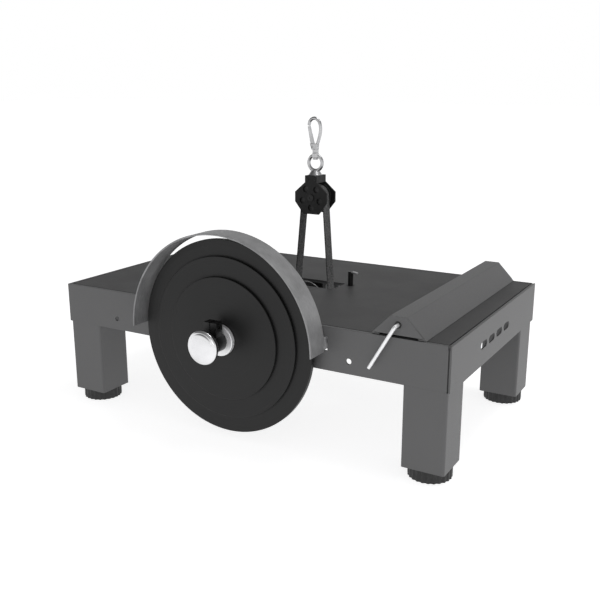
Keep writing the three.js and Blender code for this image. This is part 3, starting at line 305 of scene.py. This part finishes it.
def satin_plate(name, low, high):
    """Bright plating with a soft sheen, as on a handle or a bead-blasted ring."""
    look = Look(name, metallic=0.45)
    grain = look.noise(1400, 2)
    look.colour(look.noise(45, 3), low, high)
    look.rough(look.noise(80, 3), 0.26, 0.38)
    look.relief((grain, 0.012 * MM))
    return look.material


def polished(name, low, high, roughness):
    """Polished plating with a faint waviness."""
    look = Look(name, metallic=1.0)
    look.colour(look.noise(35, 2), low, high)
    look.rough(look.noise(55, 4), roughness, roughness + 0.09)
    look.relief((look.noise(240, 2), 0.012 * MM))
    return look.material


def webbing(name, low, high):
    """Dark woven webbing with paler flecks of worn yarn."""
    look = Look(name, Sheen_Weight=0.25)
    fleck = look.noise(330, 3)
    yarn = look.noise(2400, 2)
    look.colour(look.mixed(fleck, yarn, 0.6), low, high, start=0.43, end=0.6)
    look.rough(yarn, 0.75, 0.95)
    look.relief((yarn, 0.12 * MM))
    return look.material


def centre_of(node):
    low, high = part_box(node)
    return (low + high) / 2


def half_width(node):
    low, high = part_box(node)
    return (high.x - low.x) / 2


shaft = centre_of("flywheel_disc_large")

# Each look goes from a darker to a paler display grey
GREY = powder_coat("grey_powder_coat", 0.33, 0.345)
MAT = rubber_mat("deck_rubber", 0.228, 0.236)
PLASTIC = moulded_plastic("black_moulding", 0.09, 0.12)
DISC = disc_coat("disc_coat", 0.075, 0.085, shaft.x, shaft.z)
CHEEK = powder_coat("black_powder_coat", 0.06, 0.075, grain=1200, gloss=0.3)
OXIDE = blackened_steel("black_oxide", 0.09, 0.13)
# Darker than the black oxide, so that the block spacer between the cheeks carries painted shade; the
# clamp screw shares it
OXIDE_AND_PAINTED_SHADE = blackened_steel("oxide_and_painted_shade", 0.03, 0.05, roughness=0.5)
GUARD = brushed_steel("brushed_guard", 0.42, 0.64, shaft.x, shaft.z)
STEEL = machined_steel("zinc_plate", 0.65, 0.75)
CHROME = polished("chrome", 0.86, 0.91, roughness=0.08)
HOOK = polished("hook_plate", 0.68, 0.76, roughness=0.2)
SATIN = satin_plate("satin_plate", 0.93, 0.97)
# Pale plate on the release flag: a painted highlight where its top catches the light
FLAG_PAINTED_HIGHLIGHT = satin_plate("flag_painted_highlight", 0.62, 0.68)
WEBBING = webbing("webbing", 0.05, 0.34)


# ---- Mesh helpers ----

JOINED = 0.002 * MM
ON_FACE = 0.01 * MM
FLAT = math.radians(0.3)
SHARP = math.radians(30)


def object_of(name, bm, look, sharp=SHARP):
    """A new object from a bmesh, smooth where its faces meet at less than the sharp angle."""
    bmesh.ops.recalc_face_normals(bm, faces=bm.faces)
    mesh = bpy.data.meshes.new(name)
    bm.to_mesh(mesh)
    bm.free()
    mesh.shade_smooth()
    mesh.set_sharp_from_angle(angle=sharp)
    mesh.materials.append(look)
    made = bpy.data.objects.new(name, mesh)
    bpy.context.scene.collection.objects.link(made)
    return made


def weigh_normals(made):
    """Let the large faces set the shading, so that they stay flat beside rounded edges."""
    weighted = made.modifiers.new("flat_faces", "WEIGHTED_NORMAL")
    weighted.keep_sharp = True
    weighted.weight = 100


def stand_in(made, slot, *replaced, body=None):
    """Give a new piece its body, and let it stand for the CAD nodes named; slot is not used."""
    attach(made, body or nodes[replaced[0]]["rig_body"])
    if replaced:
        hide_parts(*replaced)


def mesh_of(node):
    """A bmesh of a CAD node, with split corners joined and flat triangles merged."""
    bm = bmesh.new()
    bm.from_mesh(nodes[node].data)
    bmesh.ops.remove_doubles(bm, verts=bm.verts, dist=JOINED)
    bmesh.ops.dissolve_limit(bm, angle_limit=FLAT, verts=bm.verts, edges=bm.edges)
    return bm


def every_edge(a, b):
    return True


def round_edges(bm, radius, segments, chosen=every_edge):
    """Round the sharp edges whose two ends pass the test."""
    edges = [
        edge
        for edge in bm.edges
        if edge.is_manifold
        and edge.calc_face_angle(0.0) > SHARP
        and chosen(edge.verts[0].co, edge.verts[1].co)
    ]
    bmesh.ops.bevel(
        bm,
        geom=edges,
        offset=radius,
        segments=segments,
        profile=0.5,
        affect="EDGES",
        clamp_overlap=True,
    )


def softened(node, look, width=0.3 * MM, segments=2):
    """Keep a CAD node's shape, and give it a look and rounded edges."""
    kept = nodes[node]
    mesh = kept.data
    mesh.materials.clear()
    mesh.materials.append(look)
    if "custom_normal" in mesh.attributes:
        mesh.attributes.remove(mesh.attributes["custom_normal"])
    mesh.shade_smooth()
    weld = kept.modifiers.new("weld", "WELD")
    weld.merge_threshold = JOINED
    merge = kept.modifiers.new("merge_flat", "DECIMATE")
    merge.decimate_type = "DISSOLVE"
    merge.angle_limit = FLAT
    bevel = kept.modifiers.new("round_edges", "BEVEL")
    bevel.width = width
    bevel.segments = segments
    bevel.limit_method = "ANGLE"
    bevel.angle_limit = SHARP
    weigh_normals(kept)


def rounded_box(corner_a, corner_b, radius):
    """A box between two corners, with all its edges rounded."""
    bm = bmesh.new()
    bmesh.ops.create_cube(bm, size=1.0)
    middle = (corner_a + corner_b) / 2
    size = corner_b - corner_a
    place = Matrix.Translation(middle) @ Matrix.Diagonal((*size, 1.0))
    bmesh.ops.transform(bm, matrix=place, verts=bm.verts)
    round_edges(bm, radius, 2)
    return bm


def lathe(profile, centre, sides):
    """A closed solid turned about an axis along Y: each profile point is a radius and a y."""
    bm = bmesh.new()
    rings = []
    for radius, y in profile:
        if radius < JOINED:
            rings.append([bm.verts.new((centre.x, y, centre.z))])
            continue
        ring = []
        for i in range(sides):
            angle = 2 * math.pi * i / sides
            x = centre.x + radius * math.cos(angle)
            z = centre.z + radius * math.sin(angle)
            ring.append(bm.verts.new((x, y, z)))
        rings.append(ring)
    for near, far in zip(rings, rings[1:]):
        for i in range(sides):
            j = (i + 1) % sides
            corners = [near[i % len(near)], near[j % len(near)], far[j % len(far)], far[i % len(far)]]
            face = list(dict.fromkeys(corners))
            if len(face) > 2:
                bm.faces.new(face)
    return bm


def close_loops(bm, loops):
    """Faces between neighbouring loops of vertices, and a cap at each end."""
    count = len(loops[0])
    for a, b in zip(loops, loops[1:]):
        for j in range(count):
            k = (j + 1) % count
            bm.faces.new([a[j], a[k], b[k], b[j]])
    bm.faces.new(loops[0])
    bm.faces.new(loops[-1])


def on_circle(centre, radius, degrees):
    angle = math.radians(degrees)
    return (centre[0] + radius * math.cos(angle), centre[1] + radius * math.sin(angle))


def arc(centre, radius, start, end, steps):
    """Points on an arc in a plane, from one angle in degrees to another."""
    turn = (end - start) / steps
    return [on_circle(centre, radius, start + turn * i) for i in range(steps + 1)]


def rounded_section(half_wide, half_high, radius, steps=4):
    """A closed rectangle with rounded corners."""
    x, y = half_wide - radius, half_high - radius
    points = []
    for centre, start in (((x, y), 0), ((-x, y), 90), ((-x, -y), 180), ((x, -y), 270)):
        points += arc(centre, radius, start, start + 90, steps)
    return points


def tube(name, points, radius, look):
    """A round rod along a line of points, with its ends closed."""
    data = bpy.data.curves.new(name, "CURVE")
    data.dimensions = "3D"
    data.bevel_depth = radius
    data.bevel_resolution = 8
    data.use_fill_caps = True
    spline = data.splines.new("POLY")
    spline.points.add(len(points) - 1)
    for point, place in zip(spline.points, points):
        point.co = (*place, 1.0)
    curve = bpy.data.objects.new(name + "_path", data)
    bpy.context.scene.collection.objects.link(curve)
    bpy.context.view_layer.update()
    shown = curve.evaluated_get(bpy.context.evaluated_depsgraph_get())
    bm = bmesh.new()
    bm.from_mesh(shown.to_mesh())
    shown.to_mesh_clear()
    bpy.data.objects.remove(curve)
    bmesh.ops.remove_doubles(bm, verts=bm.verts, dist=JOINED)
    return object_of(name, bm, look, sharp=math.radians(50))


# ---- Platform: folded deck, mat, legs and their welds ----

DECK_FOLD_R = 2.2 * MM
LEG_CORNER_R = 4 * MM
WELD_DEPTH = 3 * MM
WELD_BELOW_SKIRT = 0.5 * MM
WELD_ABOVE_EDGE = 0.2 * MM


def platform_shell():
    """The folded deck, with rounded folds where the skirts turn down."""
    low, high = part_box("platform_shell")

    def both_on(p, q, face):
        return abs(p - face) + abs(q - face) < ON_FACE

    def on_outline(a, b):
        if min(a.z, b.z) < high.z - ON_FACE:
            return False
        ends = both_on(a.x, b.x, low.x) or both_on(a.x, b.x, high.x)
        sides = both_on(a.y, b.y, low.y) or both_on(a.y, b.y, high.y)
        return ends or sides

    bm = mesh_of("platform_shell")
    round_edges(bm, DECK_FOLD_R, 5, on_outline)
    made = object_of("platform_shell_folded", bm, GREY)
    bevel = made.modifiers.new("round_edges", "BEVEL")
    bevel.width = 0.2 * MM
    bevel.segments = 1
    bevel.angle_limit = math.radians(50)
    weigh_normals(made)
    stand_in(made, "grey_paint", "platform_shell")


platform_shell()
softened("deck_mat", MAT, width=0.7 * MM)
for corner in CORNERS:
    softened("leg_" + corner, GREY, width=0.25 * MM)
    softened("foot_plate_" + corner, STEEL)
    softened("levelling_foot_" + corner, PLASTIC, width=0.5 * MM)


def weld_seam(corner):
    """The ground and painted weld where a leg meets the skirt's lower edge."""
    leg_low, leg_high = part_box("leg_" + corner)
    shell_low, shell_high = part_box("platform_shell")
    if corner.startswith("front"):
        front, back = shell_low.y, shell_low.y + WELD_DEPTH
    else:
        front, back = shell_high.y - WELD_DEPTH, shell_high.y
    corner_a = Vector((leg_low.x + LEG_CORNER_R, front, shell_low.z - WELD_BELOW_SKIRT))
    corner_b = Vector((leg_high.x - LEG_CORNER_R, back, shell_low.z + WELD_ABOVE_EDGE))
    made = object_of("weld_" + corner, rounded_box(corner_a, corner_b, 0.1 * MM), GREY)
    stand_in(made, "grey_paint", body="frame")


for corner in CORNERS:
    weld_seam(corner)

# ---- Shaft, bearings, discs and hub ----

SHAFT_BORE_R = 10.3 * MM

for end in ENDS:
    softened("bearing_housing_" + end, CHEEK, width=0.8 * MM, segments=3)
    softened("bearing_" + end, STEEL)
    softened("spool_flange_" + end, STEEL, width=0.5 * MM)
softened("drive_shaft", STEEL, width=0.5 * MM)
softened("flywheel_backing_flange", STEEL, width=0.5 * MM)


def disc(node, edge):
    """A turned disc with rolled edges, over its bore."""
    low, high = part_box(node)
    outer = half_width(node)
    profile = [(SHAFT_BORE_R, low.y)]
    profile += arc((outer - edge, low.y + edge), edge, -90, 0, 5)
    profile += arc((outer - edge, high.y - edge), edge, 0, 90, 5)
    profile += [(SHAFT_BORE_R, high.y), (SHAFT_BORE_R, low.y)]
    bm = lathe(profile, centre_of(node), sides=192)
    bmesh.ops.remove_doubles(bm, verts=bm.verts, dist=JOINED)
    return bm


for size in ("large", "medium", "small"):
    node = "flywheel_disc_" + size
    made = object_of(node + "_turned", disc(node, 1.2 * MM), DISC)
    weigh_normals(made)
    stand_in(made, "disc_black", node)

made = object_of("hub_ring_turned", disc("hub_ring", 1.6 * MM), SATIN)
weigh_normals(made)
stand_in(made, "chrome", "hub_ring")
softened("clamp_collar", OXIDE, width=0.6 * MM, segments=3)
softened("clamp_screw", OXIDE_AND_PAINTED_SHADE, width=0.3 * MM)


def hub_cap():
    """The domed cap: a rounded back, a fine step near its rim, and a polished crown."""
    low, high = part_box("hub_cap")
    outer = half_width("hub_cap")
    dome = 9 * MM
    back_r = 3 * MM
    bore = 8.3 * MM
    bore_depth = 8 * MM
    step_height = 0.35 * MM
    step_at = 0.84
    step_spread = 0.03
    rim_y = low.y + dome
    bore_end = high.y - bore_depth
    profile = [(0.0, bore_end), (bore, bore_end), (bore, high.y), (outer - back_r, high.y)]
    profile += arc((outer - back_r, high.y - back_r), back_r, 75, 0, 5)
    steps = 28
    for i in range(steps + 1):
        angle = math.pi / 2 * i / steps
        radius = outer * math.cos(angle)
        rise = dome * math.sin(angle)
        off_step = (radius / outer - step_at) / step_spread
        step = step_height * math.exp(-(off_step**2))
        profile.append((radius if i < steps else 0.0, rim_y - rise + step))
    bm = lathe(profile, centre_of("hub_cap"), sides=128)
    bmesh.ops.remove_doubles(bm, verts=bm.verts, dist=JOINED)
    made = object_of("hub_cap_domed", bm, CHROME)
    stand_in(made, "chrome", "hub_cap")


hub_cap()

# ---- Guard ----

GUARD_THICK = 3 * MM
GUARD_DEPTH = 46 * MM
TAB_LAP = 0.5 * MM


def guard_band():
    """The half-round band, with rounded edges."""
    low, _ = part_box("flywheel_guard")
    middle_r = half_width("flywheel_guard") - GUARD_THICK / 2
    middle_y = low.y + GUARD_DEPTH / 2
    section = rounded_section(GUARD_THICK / 2, GUARD_DEPTH / 2, 0.9 * MM)
    steps = 128
    bm = bmesh.new()
    loops = []
    for i in range(steps + 1):
        angle = math.pi * i / steps
        out = Vector((math.cos(angle), 0, math.sin(angle)))
        centre = Vector((shaft.x, middle_y, shaft.z)) + out * middle_r
        loops.append([bm.verts.new(centre + out * r + Vector((0, across, 0))) for r, across in section])
    close_loops(bm, loops)
    bmesh.ops.remove_doubles(bm, verts=bm.verts, dist=JOINED)
    return bm


def guard():
    """The band, and the two tabs that go back through the skirt to the brackets."""
    low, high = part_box("flywheel_guard")
    band = object_of("flywheel_guard_band", guard_band(), GUARD, sharp=math.radians(40))
    weigh_normals(band)
    stand_in(band, "guard_steel", "flywheel_guard")
    bracket_low, bracket_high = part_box("guard_bracket_left")
    back = low.y + GUARD_DEPTH
    for side, x in zip(SIDES, (low.x, high.x - GUARD_THICK)):
        corner_a = Vector((x, back - TAB_LAP, bracket_low.z))
        corner_b = Vector((x + GUARD_THICK, high.y, bracket_high.z))
        made = object_of("guard_tab_" + side, rounded_box(corner_a, corner_b, 0.5 * MM), GUARD)
        stand_in(made, "guard_steel", body="frame")


guard()
for side in SIDES:
    softened("guard_bracket_" + side, STEEL)
    softened("guard_bolt_" + side, STEEL)

# ---- Strap ----

STRAP_T = 3 * MM
STRAP_GAP = 0.3 * MM
STRAP_EDGE = 1.2 * MM
STRAP_EDGE_LEAST = 0.12
YARN_HEIGHT = 0.45 * MM
RIB = 2.5 * MM
PICK = 3.6 * MM
ANCHOR_PIN_R = 5 * MM
TAIL_LENGTH = 14 * MM


def tangent_angle(a, ra, b, rb, side):
    """The angle from both centres to where one straight line touches the same side of both."""
    heading = math.atan2(b[1] - a[1], b[0] - a[0])
    return heading + side * math.acos((ra - rb) / math.dist(a, b))


def strap_line():
    """The strap's middle line in X and Z: spool, sheave, anchor pin and a short tail."""
    spool = (shaft.x, shaft.z)
    sheave = centre_of("sheave")
    block = (sheave.x, sheave.z)
    pin = centre_of("anchor_pin")
    anchor = (pin.x, pin.z)
    leave_r = half_width("strap_coil") + STRAP_GAP + STRAP_T / 2
    loop_r = ANCHOR_PIN_R + STRAP_GAP + STRAP_T / 2
    pitch_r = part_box("strap")[1].z - block[1] - STRAP_T / 2
    left = math.degrees(tangent_angle(spool, leave_r, block, pitch_r, 1))
    right = math.degrees(tangent_angle(anchor, loop_r, block, pitch_r, -1))
    points = [on_circle(spool, leave_r, left)]
    points += arc(block, pitch_r, left, right, 60)
    points += arc(anchor, loop_r, right, -180, 40)
    tail_x, tail_z = points[-1]
    points.append((tail_x, tail_z + TAIL_LENGTH))
    return points


def spaced(points, step):
    """The same line as points about a step apart."""
    lengths = [0.0]
    for a, b in zip(points, points[1:]):
        lengths.append(lengths[-1] + math.dist(a, b))
    count = max(2, round(lengths[-1] / step))
    made = []
    k = 0
    for i in range(count + 1):
        at = lengths[-1] * i / count
        while k < len(lengths) - 2 and lengths[k + 1] < at:
            k += 1
        share = (at - lengths[k]) / (lengths[k + 1] - lengths[k])
        a, b = points[k], points[k + 1]
        made.append((a[0] + (b[0] - a[0]) * share, a[1] + (b[1] - a[1]) * share))
    return made


def weave(along, across):
    """Height of the yarns, from 0 to 1: lengthwise ribs that dip under the cross threads."""
    dip = 0.55
    half_pick = 0.5 * (math.floor(across / RIB) % 2)
    bulge = abs(math.sin(math.pi * across / RIB)) ** 0.6
    over = abs(math.sin(math.pi * (along / PICK + half_pick))) ** 0.7
    return bulge * (1.0 - dip + dip * over)


def edge_share(to_edge):
    """How much of its thickness the webbing has at a distance from its edge."""
    outwards = 1 - min(to_edge / STRAP_EDGE, 1.0)
    return max(math.sqrt(1 - outwards**2), STRAP_EDGE_LEAST)


def strap():
    """The woven strap, up from the spool, over the sheave and down round the anchor pin."""
    low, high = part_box("strap")
    width = high.y - low.y
    line = spaced(strap_line(), 0.75 * MM)
    columns = 40
    core = STRAP_T / 2 - YARN_HEIGHT
    bm = bmesh.new()
    loops = []
    along = 0.0
    for i, (x, z) in enumerate(line):
        before = line[max(i - 1, 0)]
        after = line[min(i + 1, len(line) - 1)]
        along += math.dist(before, (x, z))
        direction = Vector((after[0] - before[0], 0, after[1] - before[1])).normalized()
        normal = Vector((-direction.z, 0, direction.x))
        loop = []
        for face in (1, -1):
            for j in range(columns + 1):
                share = j / columns if face > 0 else 1 - j / columns
                across = share * width
                to_edge = min(share, 1 - share) * width
                lift = (core + YARN_HEIGHT * weave(along, across)) * edge_share(to_edge)
                place = Vector((x, low.y + across, z)) + normal * (face * lift)
                loop.append(bm.verts.new(place))
        loops.append(loop)
    close_loops(bm, loops)
    made = object_of("strap_woven", bm, WEBBING, sharp=math.radians(60))
    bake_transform(made)
    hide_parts("strap")


def strap_coil():
    """The webbing's last turns on the shaft, as one wound strip."""
    low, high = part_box("strap_coil")
    centre = centre_of("strap_coil")
    outer = half_width("strap_coil")
    inner = 10.35 * MM
    thick = 1.2 * MM
    turns = 1.9
    first_angle = math.radians(170)
    steps = 150
    section = rounded_section(thick / 2, (high.y - low.y) / 2, 0.5 * MM, steps=2)
    bm = bmesh.new()
    loops = []
    for i in range(steps + 1):
        share = i / steps
        angle = first_angle + 2 * math.pi * turns * share
        radius = inner + thick / 2 + (outer - inner - thick) * share
        out = Vector((math.cos(angle), 0, math.sin(angle)))
        base = centre + out * radius
        loops.append([bm.verts.new(base + out * r + Vector((0, y, 0))) for r, y in section])
    close_loops(bm, loops)
    made = object_of("strap_coil_wound", bm, WEBBING, sharp=math.radians(60))
    stand_in(made, "webbing", "strap_coil")


strap()
strap_coil()
for end in ENDS:
    softened("anchor_ear_" + end, STEEL)
softened("anchor_pin", STEEL, width=0.5 * MM)

# ---- Pulley block, swivel eye and hook ----

CAST_VOXEL = 0.3 * MM
CAST_SMOOTHING = 8

for end in ENDS:
    softened("block_cheek_" + end, CHEEK, width=0.7 * MM, segments=3)
softened("sheave", PLASTIC, width=0.3 * MM)
softened("sheave_axle", OXIDE, width=0.4 * MM)
# The spacer takes the darkest oxide as painted shade in the gap between the cheeks
softened("block_spacer", OXIDE_AND_PAINTED_SHADE, width=0.8 * MM, segments=3)
for side in SIDES:
    softened("block_rivet_" + side, OXIDE, width=0.2 * MM)


def cast(node, look):
    """A CAD node with its inner corners run together, as a casting has them."""
    made = object_of(node + "_cast", mesh_of(node), look, sharp=math.radians(80))
    remesh = made.modifiers.new("even", "REMESH")
    remesh.mode = "VOXEL"
    remesh.voxel_size = CAST_VOXEL
    remesh.use_smooth_shade = True
    smooth = made.modifiers.new("run_together", "SMOOTH")
    smooth.factor = 0.5
    smooth.iterations = CAST_SMOOTHING
    return made


stand_in(cast("swivel_eye", HOOK), "chrome", "swivel_eye")
stand_in(cast("hook_body", HOOK), "chrome", "hook_body")
softened("hook_gate", HOOK, width=0.9 * MM, segments=3)
softened("gate_pin", STEEL, width=0.2 * MM)

# ---- Strap release ----


def release_spindle():
    """The black spindle, with a rounded top."""
    low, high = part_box("release_spindle")
    radius = (high.y - low.y) / 2
    height = high.z - low.z
    bm = bmesh.new()
    bmesh.ops.create_cone(bm, cap_ends=True, segments=48, radius1=radius, radius2=radius, depth=height)
    middle = Vector((low.x + radius, (low.y + high.y) / 2, (low.z + high.z) / 2))
    bmesh.ops.translate(bm, vec=middle, verts=bm.verts)
    round_edges(bm, 0.6 * MM, 3)
    made = object_of("release_spindle_turned", bm, OXIDE)
    weigh_normals(made)
    stand_in(made, "black_oxide", "release_spindle")


def release_flag():
    """The finger piece on the spindle, slightly arched towards its end, coloured pale as a painted
    highlight on its top.
    """
    low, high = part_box("release_spindle")
    radius = (high.y - low.y) / 2
    start = low.x + 1.5 * radius
    length = high.x - start
    half = 4 * MM
    thick = 2.6 * MM
    drop = 1.6 * MM
    steps = 12
    section = rounded_section(half, thick / 2, 0.9 * MM)
    middle_y = (low.y + high.y) / 2
    bm = bmesh.new()
    loops = []
    for i in range(steps + 1):
        share = i / steps
        middle_z = high.z - thick / 2 - drop * share**2
        middle = Vector((start + length * share, middle_y, middle_z))
        loops.append([bm.verts.new(middle + Vector((0, y, z))) for y, z in section])
    close_loops(bm, loops)
    made = object_of("release_flag_bent", bm, FLAG_PAINTED_HIGHLIGHT)
    stand_in(made, "black_oxide", body=nodes["release_spindle"]["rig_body"])


release_spindle()
release_flag()
softened("spindle_bush", PLASTIC, width=0.5 * MM)
softened("anchor_retainer", STEEL, width=0.4 * MM)

# ---- Foot bar ----


def foot_bar():
    """The folded bar: soft folds along its length, crisp ends."""
    low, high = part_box("bar_shell")
    fold = 2 * MM

    def along_bar(a, b):
        return abs(a.y - b.y) > (high.y - low.y) / 2 and abs(a.x - b.x) < ON_FACE

    bm = mesh_of("bar_shell")
    round_edges(bm, fold, 5, along_bar)
    made = object_of("bar_shell_folded", bm, GREY)
    weigh_normals(made)
    stand_in(made, "grey_paint", "bar_shell")


foot_bar()
for end in ENDS:
    softened("bar_end_" + end, GREY, width=0.3 * MM)
softened("bar_bush", PLASTIC, width=0.15 * MM)


def latch_lever():
    """One bent rod: straight through the bar, a tight bend, and the hanging grip."""
    low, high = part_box("latch_lever")
    bush = centre_of("bar_bush")
    radius = 3 * MM
    bend = 6 * MM
    corner = Vector((bush.x, low.y + radius, bush.z))
    far = Vector((bush.x, high.y, bush.z))
    tip = Vector((low.x + radius, low.y + radius, low.z + radius))
    along = (tip - corner).normalized()
    start = corner + Vector((0, bend, 0))
    end = corner + along * bend
    points = [far]
    steps = 12
    for i in range(steps + 1):
        t = i / steps
        points.append(start * (1 - t) ** 2 + corner * 2 * t * (1 - t) + end * t**2)
    points.append(tip)
    made = tube("latch_lever_rod", points, radius, SATIN)
    bevel = made.modifiers.new("round_ends", "BEVEL")
    bevel.width = 1.2 * MM
    bevel.segments = 4
    bevel.limit_method = "ANGLE"
    bevel.angle_limit = math.radians(60)
    stand_in(made, "chrome", "latch_lever")


latch_lever()
softened("latch_dog", STEEL, width=0.4 * MM)
softened("latch_keeper", STEEL, width=0.4 * MM)

# ---- Floor and light ----

FLOOR_SIZE = 40.0
FLOOR_DROP = 0.2 * MM
FLOOR_GLOW = 0.8


def floor():
    """A plain pale floor that glows a little, so that the room stays light from below."""
    bm = bmesh.new()
    bmesh.ops.create_grid(bm, x_segments=1, y_segments=1, size=FLOOR_SIZE / 2)
    look = Look("studio_floor", Roughness=0.9)
    look.colour(look.noise(0.4, 2), 0.80, 0.82)
    look.shader.inputs["Emission Color"].default_value = (1.0, 1.0, 1.0, 1.0)
    look.shader.inputs["Emission Strength"].default_value = FLOOR_GLOW
    made = object_of("floor", bm, look.material)
    made.location.z = -FLOOR_DROP


HORIZON_LIGHT = 1.0
SKY_LIGHT_LEFT = 0.15
SKY_LIGHT_RIGHT = 0.45
SKY_SIDES = (-0.7, 0.6)
HORIZON_FADE = (0.15, 0.45)


def world_light():
    """A white horizon under a dimmer sky, darker towards -X."""
    world = bpy.data.worlds.new("studio")
    bpy.context.scene.world = world
    world.use_nodes = True
    tree = world.node_tree
    background = tree.nodes["Background"]
    background.inputs["Color"].default_value = (1.0, 1.0, 1.0, 1.0)
    direction = tree.nodes.new("ShaderNodeTexCoord").outputs["Generated"]
    split = tree.nodes.new("ShaderNodeSeparateXYZ")
    tree.links.new(direction, split.inputs[0])

    def ranged(source, start, end, low, high):
        made = tree.nodes.new("ShaderNodeMapRange")
        made.interpolation_type = "SMOOTHSTEP"
        for socket, number in zip(made.inputs[1:5], (start, end, low, high)):
            socket.default_value = number
        tree.links.new(source, made.inputs[0])
        return made

    sky = ranged(split.outputs["X"], *SKY_SIDES, SKY_LIGHT_LEFT, SKY_LIGHT_RIGHT)
    rise = ranged(split.outputs["Z"], *HORIZON_FADE, HORIZON_LIGHT, 0.0)
    tree.links.new(sky.outputs[0], rise.inputs[4])
    tree.links.new(rise.outputs[0], background.inputs["Strength"])


def soft_light(name, place, target, size, watts):
    """A square lamp, aimed at a point of the platform."""
    data = bpy.data.lights.new(name, "AREA")
    data.shape = "SQUARE"
    data.size = size
    data.energy = watts
    light = bpy.data.objects.new(name, data)
    light.location = place
    aim = Vector(target) - Vector(place)
    light.rotation_euler = aim.to_track_quat("-Z", "Y").to_euler()
    bpy.context.scene.collection.objects.link(light)


floor()
world_light()
soft_light("key", place=(2.6, 0.2, 0.9), target=(0, 0, 0.2), size=1.4, watts=1)
soft_light("fill", place=(0.9, -1.9, 0.9), target=(0.3, 0, 0.2), size=0.9, watts=2)
soft_light("top", place=(0.4, 0.2, 1.7), target=(0.35, 0, 0.25), size=0.8, watts=8)
# Plain tones, with no film curve over them
bpy.context.scene.view_settings.view_transform = "Standard"
